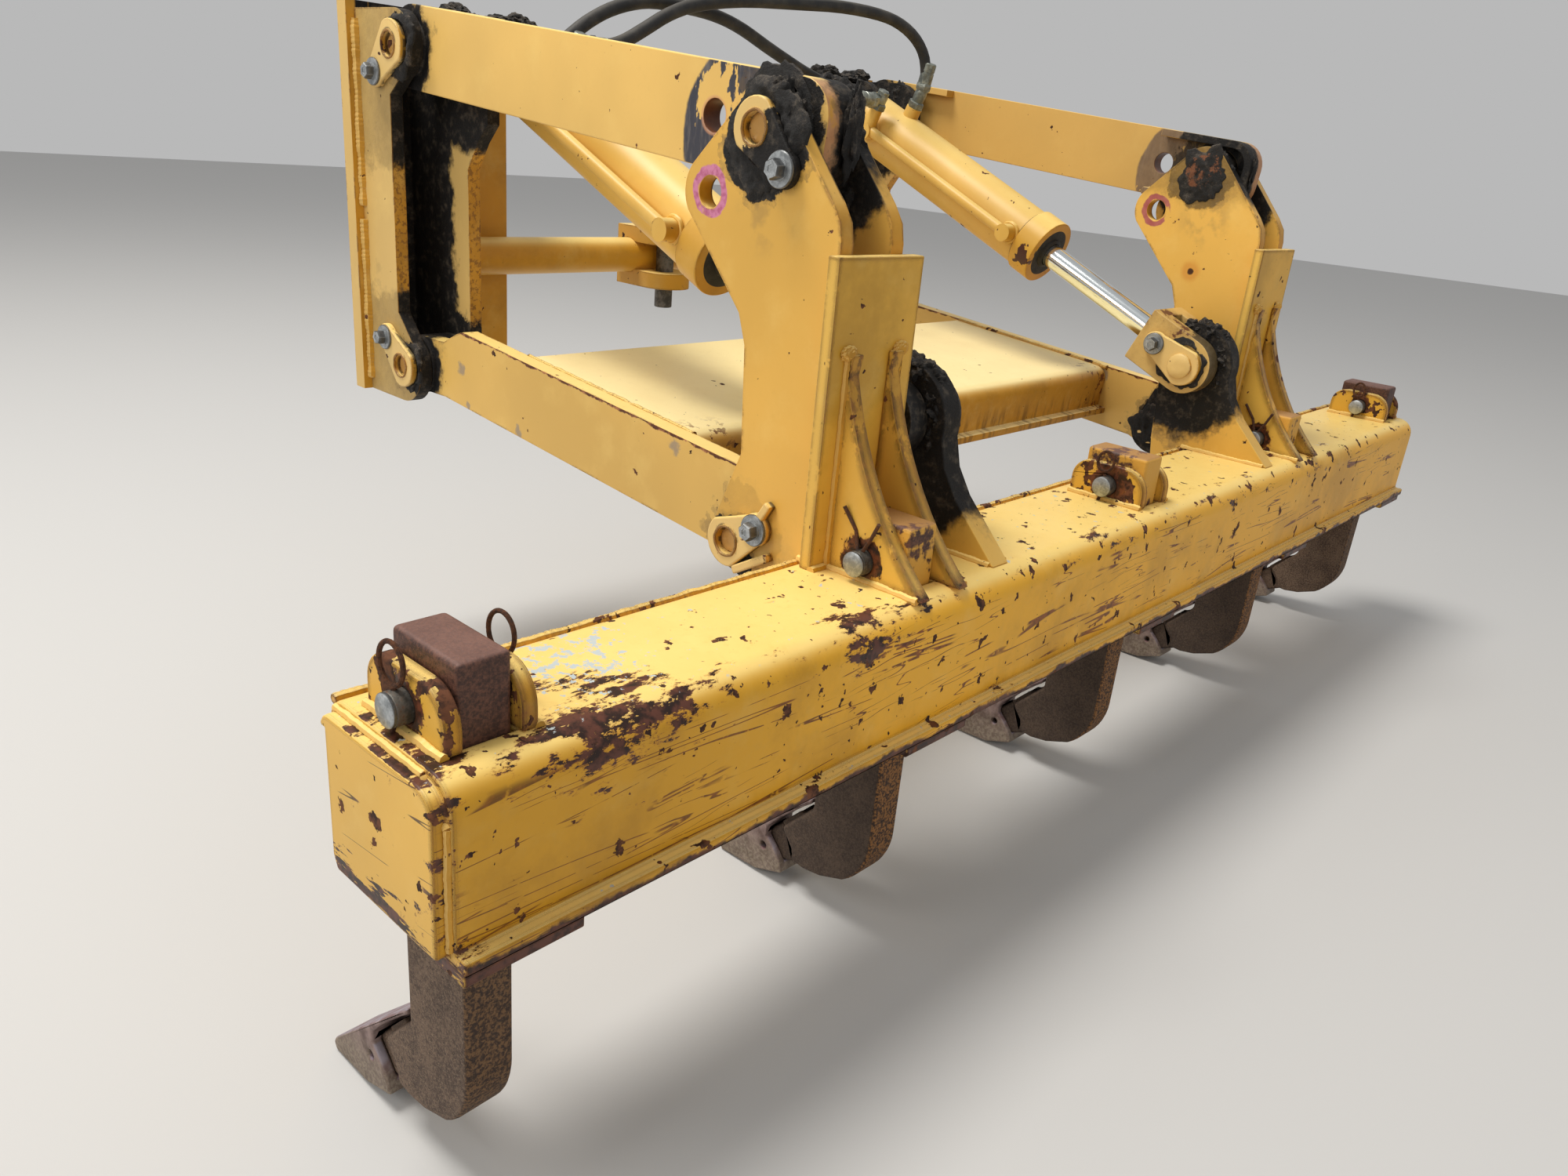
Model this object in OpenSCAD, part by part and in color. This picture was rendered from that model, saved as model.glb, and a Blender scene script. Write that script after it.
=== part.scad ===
// Rear ripper of a motor grader, raised and lowered by two cylinders on a parallel linkage.
// Frame: +X along the beam to the right seen from behind, +Y towards the machine, +Z up.
// The origin lies on the mounting face, midway between the two mounts and between their pins.

/* [Linkage] */
// Length of the lower and upper arms between pin centres
arm_l = 725; // [650:5:800]
// Angle by which the arms hang below level towards the beam
arm_drop = 5.3; // [3:0.1:8]
// Height between the upper and lower pins
pin_gap = 446; // [420:2:480]
// Distance from the mounting face back to the mount's pins
pin_back = 132; // [120:1:150]
// Sideways distance from the middle to the arms' centre plane
arm_x = 533; // [520:1:560]
// Space between a mount's cheeks and between a tower's plates
cheek_gap = 62; // [58:1:70]
// Radius of the four main pins on each side
pin_r = 22; // [18:0.5:26]
// Thickness of the flag plates that lock the pins
flag_t = 10; // [8:1:14]
// Radius of the recess that shows a pin's end in its flag plate
recess_r = 16; // [14:0.5:18]
// Running clearance round every turning pin
pin_fit = 0.05; // [0.02:0.01:0.1]
// Clearance of an arm's boss to the plate beside it
boss_fit = 1; // [0.5:0.5:2]
// Clearance of an arm's body to the plate beside it
body_fit = 6; // [5:0.5:8]

/* [Mounts] */
// Thickness of the mounting plate
mount_t = 25; // [18:1:32]
// How far the mounting plate stands out above and below the pins
mount_over = 57; // [50:1:70]
// Inner edge of the mounting plate from the middle
mount_in = 330; // [310:5:335]
// Thickness of cheeks, tower plates and cylinder lugs
plate_t = 20; // [16:1:24]
// Radius of a cheek's lobe round its pin
cheek_r = 40; // [36:1:46]
// Radius of the bolt holes in the mounting plate
bolt_hole_r = 11; // [9:0.5:13]
// Height between bolt holes in line with the arms
bolt_rise = 260; // [240:5:280]
// Sideways distance from the middle to the inner bolt holes
inner_bolt_x = 394; // [390:1:398]
// Height between the inner bolt holes
inner_bolt_rise = 250; // [240:5:256]

/* [Arms] */
// Depth of an upper arm
upper_h = 110; // [96:2:120]
// Thickness of an arm's plate
arm_t = 26; // [20:1:32]
// Overhang of an upper arm behind its pin
upper_end = 66; // [60:1:70]
// Thickness of the strip wrapped round an upper arm's end
wrap_t = 12; // [8:1:14]
// Distance from an upper arm's rear pin to its spare hole
spare_d = 98; // [94:1:104]
// Radius of the spare holes
spare_r = 17; // [14:0.5:20]
// Height of a lower arm's top edge above its pin line
lower_top = 78; // [66:2:84]
// Depth of a lower arm's bottom edge below its pin line
lower_bot = 32; // [26:2:40]
// Outer radius of a lower arm's bosses
boss_r = 44; // [38:1:48]
// Distance from the mount pin to the cross box's front edge
box_start = 236; // [220:2:260]
// Length of the cross box along the arms
box_l = 354; // [300:2:380]
// Height of the cross box
box_h = 84; // [70:2:96]
// Bend radius of the cross box's rear top edge
box_round = 24; // [16:1:30]
// How far the cross box's bottom plate stands out behind
box_lip = 16; // [8:1:20]

/* [Beam] */
// Length of the beam beyond the middle of the outer shanks
beam_end = 68; // [60:1:100]
// Width of the beam from front to rear
beam_w = 175; // [160:1:186]
// Height of the beam
beam_h = 154; // [140:2:170]
// Distance from the lower tower pins back to the beam's front face
beam_back = 101; // [96:1:110]
// Height of the beam's top face above the lower tower pins
beam_up = 8; // [0:1:16]
// Bend radius of the beam's rear top edge
beam_round = 30; // [20:1:36]
// Thickness of the beam's bottom plate
bottom_t = 12; // [8:1:16]
// How far the bottom plate stands out behind
bottom_lip = 14; // [8:1:18]
// Thickness of the end plates
cap_t = 12; // [8:1:16]
// How far the end plates stay inside the beam's outline, and twice as far in front
cap_inset = 7; // [4:1:10]
// Thickness of the plates under the pockets
pad_t = 14; // [8:1:18]
// Length of the plates under the pockets
pad_l = 110; // [90:2:130]

/* [Towers] */
// Distance from the lower tower pins back to the plates' rear edge
tower_back = 122; // [118:1:126]
// Radius of the tower's two upper lobes
lobe_r = 40; // [36:1:44]
// Radius of the tower's foot round the lower pin
foot_r = 35; // [33:1:40]
// Spare hole's distance in front of the upper pin
ring_fwd = 70; // [64:1:74]
// Spare hole's distance below the upper pin
ring_down = 68; // [66:1:72]
// Height of the back plate above the beam
back_h = 328; // [300:2:340]
// Thickness of the back plate
back_t = 16; // [12:1:18]
// Overhang of the back plate on both sides
back_over = 18; // [12:1:20]

/* [Shanks and holders] */
// Pitch of the shank holders
shank_pitch = 533; // [520:1:540]
// Thickness of a shank
shank_t = 47; // [42:1:50]
// Bend radius of a shank's heel
shank_bend = 85; // [70:1:95]
// Width of a shank from front to rear
shank_w = 91; // [84:1:96]
// Distance from the beam's rear face to the shanks' rear edge
shank_in = 43; // [38:1:46]
// Height of the shanks above the beam
shank_up = 66; // [60:1:90]
// Depth of the shanks' straight part below the beam's top face
shank_down = 296; // [280:2:330]
// Clearance between a shank and what holds it
shank_fit = 1.5; // [1:0.5:2]
// Radius of the shank pins
shank_pin_r = 14; // [12:0.5:16]
// Height of the shank pins above the beam
shank_pin_up = 21.5; // [20:0.5:24]
// Thickness of the holders' ears
ear_t = 15; // [12:1:18]
// Height of the ears above the beam
ear_h = 51; // [46:1:56]
// Thickness of the gussets that hold the two shanks under the towers
gusset_t = 18; // [14:1:20]
// Height of the gussets above the beam
gusset_h = 232; // [210:2:250]
// Thickness of the nose that carries a tip
nose_t = 27; // [22:1:31]
// Width of a tip
tip_w = 50; // [48:1:54]
// Reach of a tip in front of its shank
tip_reach = 150; // [140:1:160]
// Clearance between a tip's pocket and the nose
tip_fit = 0.3; // [0.2:0.1:1]
// Radius of the hole for a tip's roll pin
tip_pin_r = 5; // [4:0.5:6]

/* [Cylinders] */
// Sideways distance from the middle to the cylinders
cyl_x = 400; // [396:1:402]
// Rod pin's distance behind the lower tower pins
rod_pin_back = 92; // [86:1:98]
// Rod pin's height above the beam
rod_pin_up = 140; // [134:1:150]
// Outer radius of a barrel
barrel_r = 52; // [46:1:54]
// Wall of a barrel
barrel_wall = 9; // [7:0.5:11]
// Length from the base pin to the barrel's front end
barrel_l = 507; // [480:1:520]
// Length of the gland
gland_l = 44; // [34:1:50]
// Radius of the gland
gland_r = 57; // [52:1:60]
// Radius of a rod
rod_r = 20; // [18:0.5:24]
// Length of the piston
piston_l = 40; // [30:1:50]
// Radius of the cylinders' pins
cyl_pin_r = 20; // [16:0.5:22]
// Width of a barrel's base eye
eye_w = 56; // [50:1:60]
// Outer radius of a base eye
eye_r = 38; // [34:1:42]
// Outer radius of the mount's lugs round a base eye
base_lug_r = 46; // [44:1:48]
// Thickness of the beam brackets that hold the rods
lug_t = 32; // [28:1:34]
// Radius of a beam bracket round the rod pin
lug_r = 54; // [52:1:58]
// Play of the rod pin in its bracket, which takes up the linkage's curved path
rod_play = 14; // [13:0.5:15]
// Width of a rod's fork
fork_w = 100; // [94:1:106]
// Radius of the fork's cheeks round the pin
fork_r = 46; // [42:1:48]
// Distance from the rod pin to the fork's front face
fork_l = 94; // [92:1:100]
// Radius of the side tubes
side_tube_r = 9.5; // [7:0.5:10]
// Sideways distance from a barrel's axis to its side tube
side_tube_x = 65; // [63:0.5:66]
// Sideways reach of the bosses that join the side tube
boss_reach = 77; // [75:0.5:78]
// Radius of those bosses
port_r = 15; // [13:0.5:17]
// Distance from the base pin to the side port
side_port_s = 118; // [110:1:130]
// Height of the side port above a barrel's axis
side_port_v = 44; // [40:1:50]
// Distance from the base pin to the top port
top_port_s = 150; // [140:1:160]
// Height of the top port above a barrel's axis
top_port_v = 68; // [64:1:74]
// Radius of the fittings on the ports
fitting_r = 10; // [9:0.5:11]
// Radius of the hoses between the cylinders
hose_r = 10; // [8:0.5:11]

/* [Cross tube and hitch] */
// Radius of the cross tube
tube_r = 30; // [24:1:34]
// Distance of the cross tube behind the mounting face
tube_back = 62; // [56:1:68]
// Depth of the cross tube below the middle
tube_low = 72; // [60:1:90]
// Sideways place of the hitch
hitch_x = -50; // [-60:5:0]
// Width of the hitch plates
hitch_w = 92; // [80:2:110]
// Gap between the hitch plates
hitch_gap = 48; // [40:2:54]
// Thickness of the hitch plates
hitch_t = 28; // [20:2:32]
// Radius of the hitch pin
hitch_pin_r = 16; // [12:0.5:18]

/* [Hidden] */
$fn = 64;

yellow = [0.86, 0.65, 0.24];
rust = [0.36, 0.25, 0.20];
steel = [0.62, 0.64, 0.66];
rubber = [0.12, 0.12, 0.12];

// Pin centres as [y, z]
mount_up = [-pin_back, pin_gap / 2];
mount_lo = [-pin_back, -pin_gap / 2];
arm_vec = arm_l * [-cos(arm_drop), -sin(arm_drop)];
tower_up = mount_up + arm_vec;
tower_lo = mount_lo + arm_vec;

mount_h = pin_gap + 2 * mount_over;

// Beam
beam_l = 4 * shank_pitch + 2 * beam_end;
beam_top = tower_lo[1] + beam_up;
beam_front = tower_lo[0] - beam_back;
beam_rear = beam_front - beam_w;
beam_low = beam_top - beam_h;
tower_rear = tower_lo[0] - tower_back;
shank_rear = beam_rear + shank_in;
shank_front = shank_rear + shank_w;
shank_mid = (shank_rear + shank_front) / 2;
shank_pin = [shank_mid, beam_top + shank_pin_up];
ring = tower_up + [ring_fwd, -ring_down];

// Cylinders
cyl_base = mount_up;
rod_pin = [tower_lo[0] - rod_pin_back, beam_top + rod_pin_up];
cyl_len = norm(rod_pin - cyl_base);
cyl_tilt = atan2(cyl_base[1] - rod_pin[1], cyl_base[0] - rod_pin[0]);
cyl_lug_in = cyl_x - eye_w / 2 - boss_fit - plate_t;
cyl_lug_out = cyl_x + eye_w / 2 + boss_fit;

plate_in = arm_x - cheek_gap / 2 - plate_t;
plate_out = arm_x + cheek_gap / 2;
pin_over = 4;
boss_w = cheek_gap - 2 * boss_fit;
body_w = cheek_gap - 2 * body_fit;
mount_out = plate_out + plate_t + 14;

// Points of an arc about c from angle a to angle b
function arc(c, r, a, b, n = 12) = [
    for (i = [0:n])
        let (at = a + (b - a) * i / n)
        c + r * [cos(at), sin(at)]
];

// Angle of the outer tangent from the circle p to the circle q, on the left going from p to q
function tangent(p, rp, q, rq) = atan2(q[1] - p[1], q[0] - p[0]) + 90 - asin((rq - rp) / norm(q - p));

// Outline of a belt round two circles, counter-clockwise
function belt(p, rp, q, rq, n = 14) =
    let (a = tangent(p, rp, q, rq), b = tangent(q, rq, p, rp))
    concat(arc(p, rp, a, b + (b < a ? 360 : 0), n), arc(q, rq, b, a + (a < b ? 360 : 0), n));

// Plate parallel to the YZ plane, from x to x + t
module plate(x, t, outline) {
    translate([x, 0, 0]) rotate([90, 0, 90]) linear_extrude(t) polygon(outline);
}

// Round bar along X from x to x + l
module rod_x(x, r, l, at) {
    translate([x, at[0], at[1]]) rotate([0, 90, 0]) cylinder(r = r, h = l);
}

// Round bar along X, centred on x
module bar_x(x, r, w, at) {
    rod_x(x - w / 2, r, w, at);
}

// Round bar along the local -Y axis, from s to s + l
module bar_s(s, r, l) {
    translate([0, -s, 0]) rotate([90, 0, 0]) cylinder(r = r, h = l);
}

module left() {
    mirror([1, 0, 0]) children();
}

// Mounts

function cheek_outline(low, high) = concat(
    [[-mount_t, -low], [-mount_t, high], [mount_up[0], high]],
    arc(mount_up + [0, high - mount_up[1] - cheek_r], cheek_r, 90, 180, 8),
    arc(mount_up, cheek_r, 180, 240, 6),
    [mount_up + [cheek_r / 2 - 2, -cheek_r * 1.6]],
    [mount_lo + [cheek_r / 2 - 2, cheek_r * 1.9]],
    arc(mount_lo, cheek_r, 120, 180, 6),
    arc(mount_lo + [10, cheek_r + 10 - low - mount_lo[1]], cheek_r + 10, 180, 270, 8)
);

function inner_outline(low, high) = concat(
    [[-mount_t, -low], [-mount_t, high], [mount_up[0] - 40, high]],
    arc(mount_up + [-52, high - mount_up[1] - 50], 50, 90, 180, 8),
    [mount_up + [-102, -92], mount_up + [-76, -118], mount_up + [-50, -156], mount_lo + [-50, 40]],
    arc(mount_lo, 50, 180, 255, 8),
    [[mount_lo[0] + 20, -low]]
);

function lug_outline() = concat(
    [[-mount_t, mount_up[1] - 76], [-mount_t, mount_h / 2 - 6]],
    [[mount_up[0] + 20, mount_h / 2 - 6]],
    arc(mount_up, base_lug_r, 84, 245, 16)
);

module mount_side() {
    color(yellow) difference() {
        union() {
            translate([mount_in, -mount_t, -mount_h / 2]) cube([mount_out - mount_in, mount_t, mount_h]);
            plate(plate_out, plate_t, cheek_outline(mount_h / 2, mount_h / 2 - 10));
            plate(plate_in, plate_t, inner_outline(mount_h / 2 - 4, mount_h / 2 - 10));
            plate(cyl_lug_in, plate_t, lug_outline());
            plate(cyl_lug_out, plate_t, lug_outline());
        }
        bar_x(arm_x, pin_r, 2 * cheek_gap + 2 * plate_t, mount_up);
        bar_x(arm_x, pin_r, 2 * cheek_gap + 2 * plate_t, mount_lo);
        bar_x(cyl_x, cyl_pin_r, eye_w + 3 * plate_t, cyl_base);
        for (p = [[arm_x, bolt_rise], [inner_bolt_x, inner_bolt_rise]], z = [-1, 1])
            translate([p[0], 0.5, z * p[1] / 2]) rotate([90, 0, 0])
                cylinder(r = bolt_hole_r, h = mount_t + 1);
    }
}

module mount_right() {
    mount_side();
}

module mount_left() {
    left() mount_side();
}

// Flag plate that locks a pin: a link from the pin to its bolt, as [dy, dz]
module flag(x, at, to, r) {
    difference() {
        plate(x, flag_t, belt(at, r, at + to, r * 0.62, 12));
        bar_x(x + flag_t, recess_r, 2 * flag_t, at);
    }
}

// Pin through both plates at the point at, with its flag plate on the outer one
module flagged_pin(at, to, r) {
    pin_start = plate_in - pin_over;
    pin_end = plate_out + plate_t;
    rod_x(pin_start, pin_r, pin_end - pin_start, at);
    flag(pin_end, at, to, r);
}

module mount_pins_side() {
    start = cyl_lug_in - 2 * pin_over;
    color(yellow) {
        flagged_pin(mount_up, [42, -36], pin_r + 11);
        flagged_pin(mount_lo, [42, 36], pin_r + 11);
        rod_x(start, cyl_pin_r, cyl_lug_out + plate_t + pin_over - start, cyl_base);
    }
}

module mount_pins_right() {
    mount_pins_side();
}

module mount_pins_left() {
    left() mount_pins_side();
}

module cross_tube() {
    color(yellow) bar_x(0, tube_r, 2 * plate_in, [-tube_back, -tube_low]);
}

hitch_at = [hitch_x, -tube_back - tube_r - 20];

module hitch_plate(z) {
    translate([0, 0, z]) linear_extrude(hitch_t) difference() {
        polygon(concat(
            [[hitch_x - hitch_w / 2, -tube_back + tube_r]],
            arc(hitch_at, hitch_w / 2, 180, 360, 16),
            [[hitch_x + hitch_w / 2, -tube_back + tube_r]]
        ));
        translate(hitch_at) circle(r = hitch_pin_r);
    }
}

module hitch_clevis() {
    color(yellow) difference() {
        union() {
            hitch_plate(-tube_low + hitch_gap / 2);
            hitch_plate(-tube_low - hitch_gap / 2 - hitch_t);
        }
        bar_x(hitch_x, tube_r, 2 * hitch_w, [-tube_back, -tube_low]);
    }
}

module hitch_pin() {
    below = 36;
    half_h = hitch_gap / 2 + hitch_t;
    color(steel) translate([hitch_at[0], hitch_at[1], -tube_low]) {
        translate([0, 0, -half_h - below]) cylinder(r = hitch_pin_r, h = 2 * half_h + below);
        translate([0, 0, half_h]) cylinder(r = hitch_pin_r + 9, h = 12);
    }
}

// Lower frame, drawn in the arms' own line: -Y along the arm from the mount pin, +Z across it

function lower_outline() = concat(
    arc([0, 0], boss_r, -90 + 20, 90, 12),
    [[-60, boss_r + 6], [-96, lower_top - 6], [-110, lower_top]],
    [[-arm_l + 26, lower_top], [-arm_l - 6, lower_top - 28]],
    arc([-arm_l, 0], boss_r, 120, 270, 12),
    [[-arm_l + 40, -lower_bot - 6], [-arm_l + 60, -lower_bot], [-70, -lower_bot]]
);

arm_in = arm_x + body_w / 2 - arm_t;

module on_lower_arm() {
    translate([0, mount_lo[0], mount_lo[1]]) rotate([arm_drop, 0, 0]) children();
}

module lower_arm_side() {
    color(yellow) on_lower_arm() difference() {
        union() {
            plate(arm_in, arm_t, lower_outline());
            for (s = [0, arm_l]) bar_x(arm_x, boss_r, boss_w, [-s, 0]);
        }
        for (s = [0, arm_l]) bar_x(arm_x, pin_r + pin_fit, cheek_gap, [-s, 0]);
    }
}

module lower_arm_right() {
    lower_arm_side();
}

module lower_arm_left() {
    left() lower_arm_side();
}

module cross_box() {
    low = lower_top - 3 - box_h;
    end = box_start + box_l;
    color(yellow) on_lower_arm() plate(-arm_in, 2 * arm_in, concat(
        [[-box_start, low], [-box_start, low + box_h]],
        arc([-end + box_round, low + box_h - box_round], box_round, 90, 180, 8),
        [[-end, low + 12], [-end - box_lip, low + 12], [-end - box_lip, low]]
    ));
}

// Upper arms, drawn in the same way from the upper mount pin

function upper_outline(grow) = concat(
    arc([0, 0], upper_h / 2 + grow, -90, 90, 16),
    arc([-arm_l - upper_end + 40, upper_h / 2 - 40], 40 + grow, 90, 180, 8),
    arc([-arm_l - upper_end + 40, -upper_h / 2 + 40], 40 + grow, 180, 270, 8)
);

module upper_arm_side() {
    outer = arm_x + body_w / 2;
    color(yellow) translate([0, mount_up[0], mount_up[1]]) rotate([arm_drop, 0, 0]) difference() {
        union() {
            plate(outer - arm_t, arm_t, upper_outline(0));
            // Strips wrapped round both ends, on the inner side of the plate
            difference() {
                plate(outer - body_w, body_w, upper_outline(0));
                plate(outer - body_w - 1, body_w + 2, upper_outline(-wrap_t));
                plate(outer - body_w - 1, body_w + 2,
                    [[-165, -upper_h], [-150, upper_h], [-arm_l + 100, upper_h], [-arm_l + 118, -upper_h]]);
            }
            bar_x(arm_x, pin_r + 16, boss_w, [0, 0]);
            bar_x(arm_x, pin_r + 16, boss_w, [-arm_l, 0]);
        }
        for (s = [0, arm_l]) bar_x(arm_x, pin_r + pin_fit, cheek_gap, [-s, 0]);
        bar_x(arm_x, spare_r, cheek_gap, [-arm_l + spare_d, 0]);
    }
}

module upper_arm_right() {
    upper_arm_side();
}

module upper_arm_left() {
    left() upper_arm_side();
}

// Beam

function beam_outline(inset = 0) = concat(
    [[beam_front - 2 * inset, beam_low + 20], [beam_front - 2 * inset, beam_top - 20]],
    arc([beam_front - 20, beam_top - 20], 20 - inset, 0, 90, 4),
    arc([beam_rear + beam_round, beam_top - beam_round], beam_round - inset, 90, 180, 8),
    [[beam_rear + inset, beam_low + inset], [beam_front - 20, beam_low + inset]]
);

module beam() {
    body_l = beam_l - 2 * cap_t;
    pocket = [shank_t + 2 * shank_fit, shank_w + 2 * shank_fit, beam_h + 4 * pad_t];
    color(yellow) difference() {
        union() {
            plate(-body_l / 2, body_l, beam_outline());
            plate(-beam_l / 2, beam_l, beam_outline(cap_inset));
            translate([-body_l / 2, beam_rear - bottom_lip, beam_low])
                cube([body_l, beam_w - 24 + bottom_lip, bottom_t]);
            for (k = [-2:2])
                translate([k * shank_pitch - pad_l / 2, beam_rear - bottom_lip + 4, beam_low - pad_t])
                    cube([pad_l, beam_w - 30 + bottom_lip, pad_t]);
        }
        for (k = [-2:2])
            translate([k * shank_pitch - pocket[0] / 2, shank_rear - shank_fit, beam_low - 2 * pad_t])
                cube(pocket);
    }
}

// Towers

function tower_outline() =
    let (a = tangent(tower_up, lobe_r, ring, lobe_r))
    concat(
        [[tower_rear, beam_top], [beam_front, beam_top]],
        [[beam_front, beam_top - 70], [beam_front + 13, beam_top - 70]],
        arc(tower_lo, foot_r, -90, 20, 10),
        [tower_lo + [-5, 104], tower_lo + [2, 225], tower_lo + [14, 258]],
        arc(ring, lobe_r, -32, a, 10),
        arc(tower_up, lobe_r, a, 140, 10),
        [for (p = [[16, 62], [4, 80], [0, 100]]) [tower_rear + p[0], tower_up[1] - p[1]]]
    );

module tower_side() {
    color(yellow) difference() {
        union() {
            plate(plate_out, plate_t, tower_outline());
            plate(plate_in, plate_t, tower_outline());
        }
        bar_x(arm_x, pin_r, 2 * cheek_gap + 2 * plate_t, tower_up);
        bar_x(arm_x, pin_r, 2 * cheek_gap + 2 * plate_t, tower_lo);
        bar_x(arm_x, spare_r, 2 * cheek_gap + 2 * plate_t, ring);
    }
}

module tower_right() {
    tower_side();
}

module tower_left() {
    left() tower_side();
}

module back_plates() {
    w = cheek_gap + 2 * plate_t + 2 * back_over;
    color(yellow) for (side = [-1, 1])
        translate([side * arm_x - w / 2, tower_rear - back_t, beam_top]) cube([w, back_t, back_h]);
}

module tower_pins_side() {
    color(yellow) {
        flagged_pin(tower_up, [-42, -37], pin_r + 9);
        flagged_pin(tower_lo, [-44, 26], pin_r + 9);
    }
}

module tower_pins_right() {
    tower_pins_side();
}

module tower_pins_left() {
    left() tower_pins_side();
}

// Gussets behind a tower, which are also the ears of the shank under it

gusset_r = 420;

function gusset_outline() =
    let (
        top = [tower_rear - back_t, beam_top + gusset_h],
        foot = [beam_rear + 6, beam_top],
        d = top - foot,
        c = (top + foot) / 2 + sqrt(gusset_r * gusset_r - norm(d) * norm(d) / 4) * [-d[1], d[0]] / norm(d),
        a = atan2(top[1] - c[1], top[0] - c[0]),
        b = atan2(foot[1] - c[1], foot[0] - c[0])
    )
    concat(
        [[top[0], beam_top], top, top + [-9, 0]],
        [for (i = [1:11]) c + gusset_r * [cos(a + (b - a) * i / 12), sin(a + (b - a) * i / 12)]],
        [foot]
    );

module gussets_side() {
    x = shank_t / 2 + shank_fit;
    color(yellow) translate([shank_pitch, 0, 0]) difference() {
        union() {
            plate(-x - gusset_t, gusset_t, gusset_outline());
            plate(x, gusset_t, gusset_outline());
        }
        bar_x(0, shank_pin_r, 4 * x + 2 * gusset_t, shank_pin);
    }
}

module gussets_right() {
    gussets_side();
}

module gussets_left() {
    left() gussets_side();
}

// Brackets that hold the rods on the beam

function lug_points() = concat(
    [[beam_rear + 24, beam_top], [beam_front, beam_top], [beam_front, beam_top - 60]],
    [[beam_front + 43, beam_top - 60], [beam_front + 53, beam_top + 10]],
    arc(rod_pin, lug_r, 10, 64, 6),
    arc(rod_pin, lug_r + 14, 86, 190, 12),
    [rod_pin + [-lug_r - 22, -46], rod_pin + [-lug_r - 42, -76], rod_pin + [-lug_r - 72, -106]]
);

module cylinder_bracket(x) {
    color(yellow) difference() {
        plate(x - lug_t / 2, lug_t, lug_points());
        bar_x(x, cyl_pin_r + rod_play, 2 * lug_t, rod_pin);
    }
}

module cylinder_bracket_right() {
    cylinder_bracket(cyl_x);
}

module cylinder_bracket_left() {
    left() cylinder_bracket(cyl_x);
}

// Shank holders with short ears

function ear_outline() = concat(
    [[shank_front + 10, beam_top]],
    arc([shank_front - 18, beam_top + ear_h - 28], 28, 0, 90, 8),
    arc([shank_rear + 24, beam_top + ear_h - 34], 34, 90, 180, 8),
    [[shank_rear - 10, beam_top]]
);

module ears(k) {
    x = shank_t / 2 + shank_fit;
    color(yellow) translate([k * shank_pitch, 0, 0]) difference() {
        union() {
            plate(-x - ear_t, ear_t, ear_outline());
            plate(x, ear_t, ear_outline());
        }
        bar_x(0, shank_pin_r, 4 * x + 2 * ear_t, shank_pin);
    }
}

module ears_left() {
    ears(-2);
}

module ears_middle() {
    ears(0);
}

module ears_right() {
    ears(2);
}

module shank_pins() {
    color(steel) for (k = [-2:2]) {
        w = shank_t + 2 * shank_fit + 2 * (abs(k) == 1 ? gusset_t : ear_t) + 26;
        bar_x(k * shank_pitch, shank_pin_r, w, shank_pin);
    }
}

// Shanks and their tips

shank_low = beam_top - shank_down;
shank_toe = [shank_front, shank_low];

function shank_outline() = concat(
    [[shank_rear, beam_top + shank_up]],
    arc([shank_rear + shank_bend, shank_low - 24], shank_bend, 180, 235, 8),
    [for (p = [[-20, -107], [7, -111], [25, -109], [29, -92], [41, -77], [46, -69]]) shank_toe + p],
    [shank_toe + [0, -20]],
    [[shank_front, beam_top + shank_up]]
);

// Nose that fills a tip's pocket, in front of the shank's full thickness
nose_outline = [
    for (p = [[-6, -40], [20, -40], [100, -115], [94, -132], [38, -121], [-6, -98]]) shank_toe + p
];
tip_pin = shank_toe + [73, -110];

module shank(k) {
    x = k * shank_pitch;
    color(rust) difference() {
        union() {
            plate(x - shank_t / 2, shank_t, shank_outline());
            plate(x - nose_t / 2, nose_t, nose_outline);
        }
        bar_x(x, shank_pin_r, 2 * shank_t, shank_pin);
        bar_x(x, tip_pin_r, 2 * shank_t, tip_pin);
    }
}

module shank_1() {
    shank(-2);
}

module shank_2() {
    shank(-1);
}

module shank_3() {
    shank(0);
}

module shank_4() {
    shank(1);
}

module shank_5() {
    shank(2);
}

tip_outline = concat(
    [shank_toe + [2, -7]],
    [for (p = [[-4, -140], [0, -146], [-5, -155]]) shank_toe + [tip_reach, 0] + p],
    [for (p = [[83, -151], [39, -135], [44, -120], [56, -106], [69, -93], [69, -80]]) shank_toe + p],
    [for (p = [[54, -62], [14, -24], [2, -14]]) shank_toe + p]
);

module tip(k) {
    x = k * shank_pitch;
    w = nose_t + 2 * tip_fit;
    color(rust) difference() {
        plate(x - tip_w / 2, tip_w, tip_outline);
        translate([x - w / 2, 0, 0]) rotate([90, 0, 90]) linear_extrude(w)
            offset(delta = tip_fit) polygon(nose_outline);
        bar_x(x, tip_pin_r, 2 * tip_w, tip_pin);
    }
}

module tip_1() {
    tip(-2);
}

module tip_2() {
    tip(-1);
}

module tip_3() {
    tip(0);
}

module tip_4() {
    tip(1);
}

module tip_5() {
    tip(2);
}

// Cylinders, drawn along -Y from the base pin

module on_cylinder(x) {
    translate([x, cyl_base[0], cyl_base[1]]) rotate([cyl_tilt, 0, 0]) children();
}

bore_r = barrel_r - barrel_wall;
barrel_start = base_lug_r + 10;
bore_start = barrel_start + 12;
side_end = barrel_l - port_r - 3;
side_rise = 4;

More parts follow.
